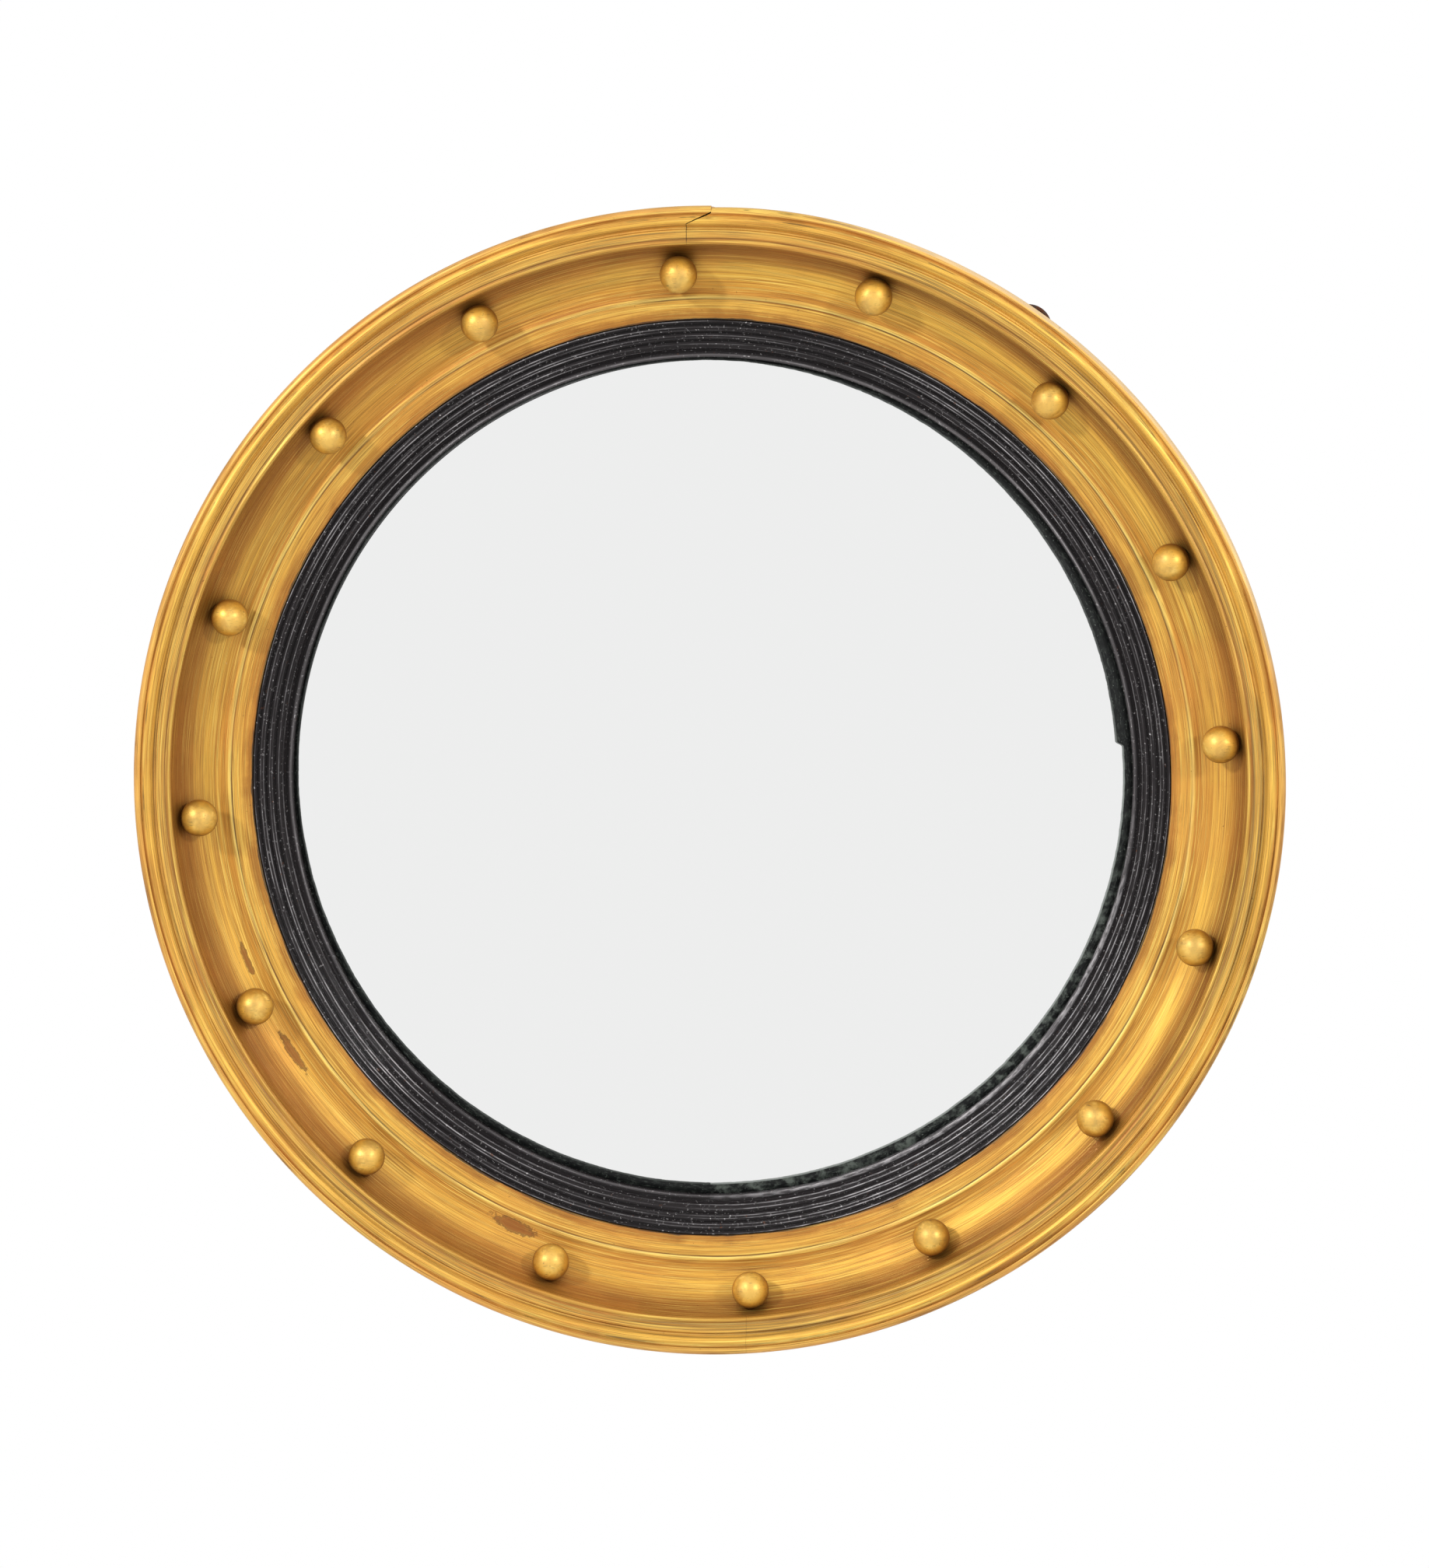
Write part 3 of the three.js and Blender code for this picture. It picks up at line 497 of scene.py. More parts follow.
def makeEbonising():
    look = ebonising
    shares = look["shares"]
    material, tree, shader, place = newMaterial("ebonising")
    spot = useGroup(tree, turnedPlace, {"Place": place})
    wander = scaled(tree, blotchesBy(tree, place, look["wander"]), look["sway"])
    radius, clock = calc(tree, "ADD", spot.outputs["Radius"], wander), spot.outputs["Clock"]
    # The tones paint highlights on the crests and the inner bead, and shade in the valleys.
    tone = rampAcross(tree, radius, [(r, paint(*[level + more for more in look["hue"]]))
                                     for r, level in look["tones"]])
    ridges, lines = linesBy(tree, place, look["lines"]["ridges"])
    slow, _ = linesBy(tree, place, look["lines"]["slow"])
    quick, _ = linesBy(tree, place, look["lines"]["quick"])
    tone = tint(tree, tone, ridges, shares["ridges"], look["dark"])
    crest = None
    for middle in look["crests"]:
        near = between(tree, apart(tree, radius, middle), *look["crestFade"])
        crest = near if crest is None else calc(tree, "MAXIMUM", crest, near)
    # Painted highlights lie along the crests, strongest on the diagonals, and on the inner bead and the
    # crests at the lower right.
    turned = swing(tree, clock, look["highlightClock"], look["highlightTurns"])
    crestHighlight = times(tree, scaled(tree, slow, look["slowHighlight"]), scaled(tree, quick, look["quickHighlight"]),
                scaled(tree, turned, look["highlightSwing"]))
    tone = tint(tree, tone, crest, crestHighlight, look["pale"])
    lowerRight = between(tree, apart(tree, clock, look["beadClock"]), *look["beadReach"])
    bead = times(tree, lowerRight, window(tree, radius, *look["beadBand"]))
    tone = tint(tree, tone, bead, scaled(tree, quick, look["beadHighlight"]), look["pale"])
    tone = tint(tree, tone, times(tree, lowerRight, crest, quick), shares["lowerRightHighlight"], look["pale"])
    onCrests = between(tree, crest, *look["onCrests"])
    chips = times(tree, flecksBy(tree, place, look["chips"]), onCrests)
    tone = tint(tree, tone, chips, shares["chips"], look["chip"])
    specks = times(tree, flecksBy(tree, place, look["specks"]), onCrests)
    tone = tint(tree, tone, specks, shares["specks"], look["speck"])
    dip = calc(tree, "MULTIPLY_ADD", chips, -look["chipDepth"], lines)
    feed(tree, shader, {"Base Color": tone, "Roughness": scaled(tree, lines, look["roughness"]),
                        "Specular IOR Level": look["gloss"], "Normal": bumped(tree, dip, look["relief"])})
    return material


# Round its edge the glass is dark: partly silvering that has gone, partly a painted reflection of the slip's
# inner wall. Its circle lies a little aside from the slip's, so that the dark is widest at the lower right,
# and a slant, a painted reflection of dark surroundings, takes more away from the top down to a clean end at
# the right.
silvering = {
    "silver": (0.85, 0.853, 0.85, 1.0), "dark": paint(15, 17, 17), "flake": paint(112, 120, 112),
    "line": paint(146, 152, 148), "dust": paint(214, 214, 208),
    "edge": 203.7, "aside": (-1.3, 2.05), "reflectedSlant": (-0.077, 206.0), "reflectedSlantClocks": (0.0, 3.0, 84.2, 85.0),
    "wobble": (120.0, 0.3, 0.7), "wobbleDepth": 0.25, "fade": (-0.15, 0.25),
    "flakes": (900.0, 0.33, 0.04), "rubs": (60.0, 1.5, 3.0, 0.52, 0.7), "cloud": (190.0, 0.44, 0.68),
    "cloudClock": 145.0, "cloudReach": (60.0, 25.0, 0.05, 0.7), "lineBand": (-0.25, 0.1, 0.7, 1.2),
    "lineReach": (70.0, 50.0, 0.2, 1.0), "dustSpots": (340.0, 0.24, 0.02), "dustHeight": (-0.1, -0.19),
    "shares": {"flakes": 0.7, "rubs": 0.25, "dust": 0.5},
    "roughness": (0.3, 0.02), "spread": 0.8, "gloss": 0.2,
}


def makeSilvering():
    look = silvering
    shares = look["shares"]
    material, tree, shader, place = newMaterial("silvering")
    spot = useGroup(tree, turnedPlace, {"Place": place})
    radius, clock = spot.outputs["Radius"], spot.outputs["Clock"]
    x, _, z = put(tree, "SeparateXYZ", {}, {0: place}).outputs
    asideX, asideZ = look["aside"]
    pushed = calc(tree, "MULTIPLY_ADD", x, asideX / mm, times(tree, z, asideZ / mm))
    edge = calc(tree, "ADD", calc(tree, "DIVIDE", pushed, calc(tree, "MAXIMUM", radius, 1.0)), look["edge"])
    # The slant is a painted reflection of dark surroundings.
    over = calc(tree, "MAXIMUM", calc(tree, "SUBTRACT", edge, scaled(tree, clock, look["reflectedSlant"])), 0.0)
    edge = calc(tree, "SUBTRACT", edge, times(tree, over, window(tree, clock, *look["reflectedSlantClocks"])))
    wobble = blotchesBy(tree, place, look["wobble"])
    inside = calc(tree, "SUBTRACT", calc(tree, "MULTIPLY_ADD", wobble, look["wobbleDepth"], radius), edge)
    # Lost silvering and a painted reflection together make the dark edge.
    desilveredAndReflection = between(tree, inside, *look["fade"])
    bareAndReflectedTone = tint(tree, look["dark"], flecksBy(tree, place, look["flakes"]), shares["flakes"], look["flake"])
    bareAndReflectedTone = tint(tree, bareAndReflectedTone, linesBy(tree, place, look["rubs"])[0], shares["rubs"], look["flake"])
    away = apart(tree, clock, look["cloudClock"])
    cloud = times(tree, blotchesBy(tree, place, look["cloud"]), between(tree, away, *look["cloudReach"]))
    bareAndReflectedTone = blendColours(tree, cloud, bareAndReflectedTone, look["flake"])
    line = times(tree, window(tree, inside, *look["lineBand"]), between(tree, away, *look["lineReach"]))
    bareAndReflectedTone = blendColours(tree, line, bareAndReflectedTone, look["line"])
    dust = times(tree, flecksBy(tree, place, look["dustSpots"]), between(tree, z, *look["dustHeight"]))
    clear = tint(tree, look["silver"], dust, shares["dust"], look["dust"])
    tone = blendColours(tree, desilveredAndReflection, clear, bareAndReflectedTone)
    # Soft light that comes by way of the glass is spread, so that it makes no glints on the gold.
    spread = times(tree, put(tree, "LightPath").outputs["Is Diffuse Ray"], look["spread"])
    rough = calc(tree, "MAXIMUM", scaled(tree, desilveredAndReflection, look["roughness"]), spread)
    feed(tree, shader, {"Base Color": tone, "Metallic": calc(tree, "SUBTRACT", 1.0, desilveredAndReflection), "Roughness": rough,
                        "Specular IOR Level": look["gloss"]})
    return material


# Bare softwood. Apart is how far, in metres, one piece's grain lies from the next one's.
bareWood = {
    "light": paint(186, 150, 106), "dark": paint(150, 112, 72), "late": paint(122, 86, 52),
    "dust": paint(156, 136, 110),
    "apart": (0.37, 0.21), "figureScale": (26.0, 26.0, 2.2), "figureFade": (0.35, 0.65), "bands": 34.0,
    "lateBand": (0.45, 0.86, 0.9, 1.0), "poreScale": (1400.0, 1400.0, 40.0), "pores": (0.6, 0.35, 0.0, 0.35),
    "dusty": (9.0, 0.42, 0.7), "shares": {"late": 0.45, "dusty": 0.4}, "paintedCreaseShade": (0.008, 0.5),
    "roughness": (0.3, 0.7, 0.9, 0.75), "gloss": 0.3, "relief": (0.0002, 0.5),
}


def makeBareWood(name, turn, seed):
    look = bareWood
    shares = look["shares"]
    material, tree, shader, place = newMaterial(name)
    apartX, apartZ = look["apart"]
    held = put(tree, "Mapping", {"vector_type": "TEXTURE"},
               {"Vector": place, "Location": (apartX * seed, 0, apartZ * seed),
                "Rotation": (0, math.radians(turn), 0)}).outputs[0]
    broad = put(tree, "Mapping", {}, {"Vector": held, "Scale": look["figureScale"]}).outputs[0]
    figure = put(tree, "TexNoise", {}, {"Vector": broad, "Scale": 1.0, "Detail": 3.0,
                                        "Distortion": 0.3}).outputs["Fac"]
    # The late wood stands as fine dark lines between broader pale bands.
    bands = calc(tree, "FRACT", times(tree, figure, look["bands"]))
    pores = put(tree, "Mapping", {}, {"Vector": held, "Scale": look["poreScale"]}).outputs[0]
    grain = put(tree, "TexNoise", {}, {"Vector": pores, "Scale": 1.0, "Detail": 3.0}).outputs["Fac"]
    tone = blendColours(tree, between(tree, figure, *look["figureFade"]), look["dark"], look["light"])
    tone = tint(tree, tone, window(tree, bands, *look["lateBand"]), shares["late"], look["late"])
    tone = blendColours(tree, between(tree, grain, *look["pores"]), tone, look["late"])
    tone = tint(tree, tone, blotchesBy(tree, place, look["dusty"]), shares["dusty"], look["dust"])
    # Painted shade in the creases, in the late wood's colour.
    tone = blendColours(tree, paintedCreaseShade(tree, look["paintedCreaseShade"]), tone, look["late"])
    feed(tree, shader, {"Base Color": tone, "Roughness": between(tree, grain, *look["roughness"]),
                        "Specular IOR Level": look["gloss"], "Normal": bumped(tree, grain, look["relief"])})
    return material


metals = {
    "iron": {"tone": paint(64, 52, 45), "spoil": paint(110, 64, 38), "metal": 0.6, "roughness": (0.25, 0.5)},
    "brass": {"tone": paint(168, 132, 70), "spoil": paint(92, 76, 44), "metal": 0.85,
              "roughness": (0.25, 0.35)},
}
metalWear = {
    "spoilt": (240.0, 0.42, 0.66), "share": 0.7, "pits": (1500.0, 0.34, 0.1), "relief": (-0.00015, 0.6),
}


def makeMetal(name):
    look = metals[name]
    material, tree, shader, place = newMaterial(name)
    spoilt = blotchesBy(tree, place, metalWear["spoilt"])
    pits = flecksBy(tree, place, metalWear["pits"])
    tone = tint(tree, look["tone"], spoilt, metalWear["share"], look["spoil"])
    feed(tree, shader, {"Base Color": tone, "Metallic": look["metal"],
                        "Roughness": scaled(tree, spoilt, look["roughness"]),
                        "Normal": bumped(tree, pits, metalWear["relief"])})
    return material


gilt = makeGilding()
ballGilt = makeBallGilding()
ebony = makeEbonising()
silver = makeSilvering()
iron = makeMetal("iron")
brass = makeMetal("brass")
print("materials made")


# Meshes. Profiles are in mm: out from the mirror's axis, and up from the wall. A member of a moulding is a
# corner, a flat to a point, a bow to a point with its rise, or an arc with its centre, reaches and angles.
def drawMoulding(members, step):
    points = [members[0][1:]]
    for kind, *data in members[1:]:
        here = Vector(points[-1])
        if kind == "corner":
            points.append(tuple(data))
        elif kind in ("flat", "bow"):
            rise = data[2] if kind == "bow" else 0.0
            run = Vector(data[:2]) - here
            count = max(1, round(run.length * (1 + abs(rise) / 4) / step))
            out = Vector((run.y, -run.x)).normalized()
            for i in range(1, count + 1):
                share = i / count
                spot = here + run * share + out * (4 * share * (1 - share) * rise)
                points.append((spot.x, spot.y))
        elif kind == "arc":
            outward, up, reachOut, reachUp, first, last = data
            count = max(2, round(math.radians(abs(last - first)) * max(reachOut, reachUp) / step))
            for i in range(count + 1):
                turn = math.radians(first + (last - first) * i / count)
                spot = (outward + reachOut * math.cos(turn), up + reachUp * math.sin(turn))
                if (Vector(spot) - Vector(points[-1])).length > step / 10:
                    points.append(spot)
    return soften([Vector(p) for p in points], step)


# Takes the sharpness off the edges that show, which are those between short runs of points.
def soften(points, step, passes=2):
    near = 1.6 * step
    for _ in range(passes):
        last = [p.copy() for p in points]
        for i in range(1, len(points) - 1):
            before, here, after = last[i - 1], last[i], last[i + 1]
            if (before - here).length < near and (after - here).length < near:
                points[i] = (before + 2 * here + after) / 4
    return points


def tidyMesh(bm):
    bmesh.ops.remove_doubles(bm, verts=bm.verts, dist=1e-6)
    bmesh.ops.recalc_face_normals(bm, faces=bm.faces)


def finishPiece(name, bm, material, body, nodes, sharpAngle=40.0):
    mesh = bpy.data.meshes.new(name)
    bm.to_mesh(mesh)
    bm.free()
    mesh.polygons.foreach_set("use_smooth", [True] * len(mesh.polygons))
    mesh.set_sharp_from_angle(angle=math.radians(sharpAngle))
    mesh.materials.append(material)
    piece = bpy.data.objects.new(name, mesh)
    scene.collection.objects.link(piece)
    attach(piece, body)
    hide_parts(*nodes)


# The vertices among what an extrude or a duplicate has made.
def newVerts(geom):
    return [v for v in geom if isinstance(v, bmesh.types.BMVert)]


def spinMoulding(profile, around, closed=True):
    bm = bmesh.new()
    verts = [bm.verts.new((0, -p.y * mm, p.x * mm)) for p in profile]
    edges = [bm.edges.new(pair) for pair in zip(verts, verts[1:])]
    if closed:
        edges.append(bm.edges.new((verts[-1], verts[0])))
    sectors = 12  # one sector is spun, and its copies close the ring
    step = 2 * math.pi / sectors
    bmesh.ops.spin(bm, geom=verts + edges, cent=(0, 0, 0), axis=(0, 1, 0), angle=step,
                   steps=around // sectors)
    sector = bm.verts[:] + bm.edges[:] + bm.faces[:]
    for index in range(1, sectors):
        made = bmesh.ops.duplicate(bm, geom=sector)["geom"]
        bmesh.ops.rotate(bm, verts=newVerts(made), cent=(0, 0, 0),
                         matrix=Matrix.Rotation(step * index, 3, "Y"))
    tidyMesh(bm)
    return bm


# Turns a small solid about Z from its profile.
def spinSolid(profile, around):
    bm = bmesh.new()
    verts = [bm.verts.new((out * mm, 0, up * mm)) for out, up in profile]
    edges = [bm.edges.new(pair) for pair in zip(verts, verts[1:])]
    bmesh.ops.spin(bm, geom=verts + edges, cent=(0, 0, 0), axis=(0, 0, 1), angle=2 * math.pi, steps=around,
                   use_merge=True)
    tidyMesh(bm)
    return bm


# Takes a part into a whole that holds several.
def takeIn(whole, part):
    kept = bpy.data.meshes.new("kept")
    part.to_mesh(kept)
    part.free()
    whole.from_mesh(kept)
    bpy.data.meshes.remove(kept)


# Keeps or takes away what a cutter holds, and gives back a new bmesh.
def carve(bm, cutter, operation):
    objects = []
    for part in (bm, cutter):
        mesh = bpy.data.meshes.new("carving")
        part.to_mesh(mesh)
        objects.append(bpy.data.objects.new("carving", mesh))
        scene.collection.objects.link(objects[-1])
    change = objects[0].modifiers.new("carve", "BOOLEAN")
    change.object, change.operation, change.solver = objects[1], operation, "MANIFOLD"
    carved = bpy.data.meshes.new_from_object(objects[0].evaluated_get(bpy.context.evaluated_depsgraph_get()))
    result = bmesh.new()
    result.from_mesh(carved)
    for unused in objects:
        bpy.data.meshes.remove(unused.data)  # and the object with it
    bpy.data.meshes.remove(carved)
    bm.free()
    return result


# Old turned work is never quite true. A row says how far points move in at most, in mm, and on what scale:
# first for slow waves, then for small lumps.
def makeUneven(bm, seed, row):
    waves, waveScale, lumps, lumpScale = row
    shift = Vector((3.1 * seed, 1.7 * seed, 5.3 * seed))
    for vert in bm.verts:
        slow = noise.noise(vert.co * waveScale + shift)
        quick = noise.noise(vert.co * lumpScale + shift)
        inward = (0.5 + 0.5 * slow) * waves + (0.5 + 0.5 * quick) * lumps
        side = Vector((vert.co.x, 0, vert.co.z))
        facing = side.normalized() * 0.6 + Vector((0, -0.8, 0))  # outwards and to the front
        vert.co -= facing * inward * mm


hoop = {
    "members": [
        ("corner", 264.3, 19.6), ("corner", 279.6, 19.6), ("corner", 279.6, 46.0), ("flat", 279.6, 57.6),
        ("arc", 277.2, 58.0, 2.8, 3.9, 0, 110), ("flat", 276.0, 61.0), ("bow", 270.2, 61.0, 3.0),
        ("flat", 269.8, 60.4), ("flat", 269.0, 60.4), ("flat", 268.6, 61.8), ("bow", 264.6, 61.3, -0.2),
        ("flat", 264.0, 60.5), ("bow", 261.4, 60.0, 1.0), ("flat", 261.4, 57.9), ("corner", 264.3, 57.9),
    ],
    "step": 0.4, "around": 540, "gap": 0.08, "uneven": (0.12, 18.0, 0.06, 220.0),
    "scarf": ((-8.5, 271.4), (3.3, 277.0)), "butt": 20.6, "reach": 299.0, "cutter": (10.0, 100.0),
    "sunk": 0.9, "sunkRun": 60.0, "sunkBand": (264.5, 280.0),
}


# A block that holds the left half of the hoop, up to the steps of the scarf and to the butt.
def leftOfHoop(gap):
    (innerX, innerR), (outerX, outerR) = hoop["scarf"]
    reach, butt = hoop["reach"], hoop["butt"]
    behind, deep = hoop["cutter"]
    corners = [(-reach, -reach), (butt + gap, -reach), (butt + gap, 0), (innerX + gap, 0),
               (innerX + gap, innerR - gap), (outerX + gap, outerR - gap), (outerX + gap, reach),
               (-reach, reach)]
    bm = bmesh.new()
    face = bm.faces.new([bm.verts.new((x * mm, behind * mm, z * mm)) for x, z in corners])
    grown = bmesh.ops.extrude_face_region(bm, geom=[face])["geom"]
    bmesh.ops.translate(bm, verts=newVerts(grown), vec=(0, -deep * mm, 0))
    bmesh.ops.recalc_face_normals(bm, faces=bm.faces)
    return bm


# The right half has sunk a little at the scarf.
def sinkHoop(bm):
    inner, outer = hoop["sunkBand"]
    for vert in bm.verts:
        radius = math.hypot(vert.co.x, vert.co.z) / mm
        if vert.co.z > 0 and radius > inner:
            along = max(0.0, 1 - abs(vert.co.x / mm) / hoop["sunkRun"])
            drop = hoop["sunk"] * along * along * (radius - inner) / (outer - inner)
            factor = 1 - drop / radius
            vert.co.x, vert.co.z = vert.co.x * factor, vert.co.z * factor


def makeHoop():
    profile = drawMoulding(hoop["members"], hoop["step"])
    left = carve(spinMoulding(profile, hoop["around"]), leftOfHoop(0.0), "INTERSECT")
    right = carve(spinMoulding(profile, hoop["around"]), leftOfHoop(hoop["gap"]), "DIFFERENCE")
    makeUneven(left, 1, hoop["uneven"])
    makeUneven(right, 2, hoop["uneven"])
    sinkHoop(right)
    finishPiece("rimLeft", left, gilt, "frame", ["rim_hoop_left"])
    finishPiece("rimRight", right, gilt, "frame", ["rim_hoop_right"])


# From the top round clockwise, drifts are the balls' degrees off an even place, and
# leans how far up the hollow they sit, in degrees from its floor towards the hoop.
balls = {
    "radius": 9.1, "turn": -3.65, "cavetto": 23.4, "centre": (238.0, 60.0), "seat": 0.8,
    "spigotRadius": 2.2, "spigotLength": 5.0, "around": 44, "step": 0.6, "uneven": (0.12, 60.0, 0.04, 300.0),
    "drifts": (0.55, 0, 0.15, 0.05, -1.4, -0.9, -1, -0.35, -1.4, -0.9, 0.8, -0.4, -0.45, 0.15, 1.3, 0),
    "leans": (39, 52, 51, 48.5, 51, 51, 50, 41, 53, 47, 53, 47, 52, 37, 53, 47), "firstSeed": 20,
}


def ballMesh(margin, around, step):
    radius, stem = balls["radius"] + margin, balls["spigotRadius"] + margin
    end = -balls["radius"] - balls["spigotLength"] - margin
    shoulder = math.degrees(math.acos(stem / radius))
    profile = drawMoulding([("corner", 0, end), ("corner", stem, end),
                            ("arc", 0, 0, radius, radius, -shoulder, 90)], step)
    profile[-1].x = 0
    return spinSolid(profile, around)


# Stands a piece at a clock angle, a distance from the axis and a height above the wall.
def station(clock, radius, height, tilt):
    turn = Matrix.Rotation(math.radians(clock), 4, "Y")
    shift = Matrix.Translation((0, -height * mm, radius * mm))
    return turn @ shift @ Matrix.Rotation(math.radians(tilt), 4, "X")


def ballPlace(index):
    reach = balls["cavetto"] - balls["radius"] + balls["seat"]
    lean = math.radians(balls["leans"][index])
    outward, up = balls["centre"]
    turn = balls["turn"] + balls["drifts"][index] + 360 / len(balls["drifts"]) * index
    outward, up = outward + reach * math.sin(lean), up - reach * math.cos(lean)
    return station(turn, outward, up, 90 + balls["leans"][index])


def makeBalls():
    for index in range(len(balls["drifts"])):
        bm = ballMesh(0.0, balls["around"], balls["step"])
        bm.transform(ballPlace(index))
        makeUneven(bm, balls["firstSeed"] + index, balls["uneven"])
        finishPiece("ball%02d" % (index + 1), bm, ballGilt, "frame", ["ball_%02d" % (index + 1)])


frameRing = {
    "members": [
        ("corner", 232.0, 19.6), ("corner", 264.0, 19.6), ("corner", 264.0, 57.6),
        ("arc", 238.0, 60.0, 23.4, 23.4, -5.887, -90), ("bow", 236.3, 36.6, 0.5), ("flat", 235.85, 36.1),
        ("flat", 235.4, 36.35), ("flat", 225.6, 34.2), ("flat", 225.6, 30.0), ("corner", 225.6, 28.0),
        ("corner", 232.0, 28.0),
    ],
    "step": 0.55, "around": 540, "gap": 0.3, "seatAround": 32, "seatStep": 1.4,
    "uneven": (0.1, 18.0, 0.06, 220.0),
}


def makeFrameRing():
    bm = spinMoulding(drawMoulding(frameRing["members"], frameRing["step"]), frameRing["around"])
    seats = bmesh.new()
    for index in range(len(balls["drifts"])):
        seat = ballMesh(frameRing["gap"], frameRing["seatAround"], frameRing["seatStep"])
        seat.transform(ballPlace(index))
        takeIn(seats, seat)
    bm = carve(bm, seats, "DIFFERENCE")
    makeUneven(bm, 3, frameRing["uneven"])
    finishPiece("cavettoRing", bm, gilt, "frame", ["cavetto_ring"])


slip = {
    "members": [
        ("corner", 207.2, 19.6), ("corner", 231.7, 19.6), ("corner", 231.7, 27.7), ("corner", 225.3, 27.7),
        ("flat", 225.3, 33.7),
    ],
    "lip": (208.7, 23.0, 207.2), "reeds": [(2.1, 0.4), (3.867, 0.85), (3.867, 0.85), (3.867, 0.85)],
    "cove": -0.9, "bead": 0.7, "step": 0.4, "around": 512, "uneven": (0.05, 18.0, 0.05, 220.0),
}


def makeSlip():
    radius, height = slip["members"][-1][1:]
    lipOuter, lipHeight, lipInner = slip["lip"]
    slope = (height - lipHeight) / (radius - lipOuter)
    members = list(slip["members"])
    for width, rise in slip["reeds"]:
        radius, height = radius - width, height - slope * width
        members.append(("bow", radius, height, rise))
    members += [("bow", lipOuter, lipHeight, slip["cove"]), ("bow", lipInner, lipHeight, slip["bead"])]
    bm = spinMoulding(drawMoulding(members, slip["step"]), slip["around"])
    makeUneven(bm, 4, slip["uneven"])
    finishPiece("ebonisedSlip", bm, ebony, "frame", ["ebonised_slip"])


glass = {"radius": 213.0, "sphere": 957.2, "crown": 42.0, "thickness": 3.0, "rows": 60, "around": 360}


def makeGlass():
    front, back = [], []
    for row in range(glass["rows"] + 1):
        radius = glass["radius"] * row / glass["rows"]
        height = glass["crown"] - glass["sphere"] + math.sqrt(glass["sphere"] ** 2 - radius ** 2)
        front.insert(0, Vector((radius, height)))
        back.append(Vector((radius, height - glass["thickness"])))
    bm = spinMoulding(back + front, glass["around"], closed=False)
    finishPiece("convexGlass", bm, silver, "frame", ["convex_glass"])


backWood = {
    "layer": (214.5, 276.0, 7.3, 12.25), "segments": 8, "segmentSteps": 36, "segmentEdge": 0.25,
    "joint": 0.06, "jointRadius": 245.0,
    "boardRadius": 226.13, "boardThickness": 7.0, "middleBoard": 162.0, "boardAround": 256, "boardEdge": 0.4,
    "gap": 0.3, "sharpAngle": 30.0,
    "firstSeeds": {"segment": 3, "board": 20, "block": 40},
}
hangers = {
    "clock": 34.9, "knuckle": (260.128, 4.072), "ring": (10.1, 1.3), "ringCentre": 270.0,
    "ringAround": 72, "wireAround": 20, "screwsAlong": (10.1, 25.4),
}
screws = {
    "head": 3.4, "shank": 1.7, "tip": 0.7, "depth": 2.4, "rim": 0.4, "slot": (0.9, 0.8), "around": 28,
    "board": {"length": 16.0, "radius": 220.31, "height": 0.3}, "strap": {"length": 11.0, "height": 5.7},
    "sharpAngle": 25.0,
}
sides = (("left", -1), ("right", 1))
segmentTurn = 360 / backWood["segments"]


def screwMesh(length, margin):
    head, shank, tip = (screws[part] + margin for part in ("head", "shank", "tip"))
    profile = [(0, length + margin), (tip, length + margin), (shank, length / 2), (shank, screws["depth"]),
               (head, screws["rim"]), (head, -2 * margin), (0, -2 * margin)]
    bm = spinSolid(profile, screws["around"])
    if margin:
        return bm
    wide, deep = screws["slot"]
    slot = bmesh.new()
    bmesh.ops.create_cube(slot, size=mm)
    bmesh.ops.scale(slot, vec=(4 * head, wide, 2 * deep), verts=slot.verts)
    return carve(bm, slot, "DIFFERENCE")


def boardScrewPlace(index):
    return station(segmentTurn * index, screws["board"]["radius"], screws["board"]["height"], 90)


def strapScrewPlace(sign, along):
    return station(sign * hangers["clock"], hangers["knuckle"][0] - along, screws["strap"]["height"], 90)


def screwHoles():
    spots = [(screws["board"]["length"], boardScrewPlace(index)) for index in range(backWood["segments"])]
    for _, sign in sides:
        for along in hangers["screwsAlong"]:
            spots.append((screws["strap"]["length"], strapScrewPlace(sign, along)))
    holes = bmesh.new()
    for length, place in spots:
        hole = screwMesh(length, backWood["gap"])
        hole.transform(place)
        takeIn(holes, hole)
    return holes


def softEdges(bm, width, angle=35.0):
    sharp = [e for e in bm.edges if len(e.link_faces) == 2 and e.calc_face_angle(0.0) > math.radians(angle)]
    bmesh.ops.bevel(bm, geom=sharp, offset=width * mm, offset_type="OFFSET", segments=2, profile=0.5,
                    affect="EDGES", material=-1, clamp_overlap=True)


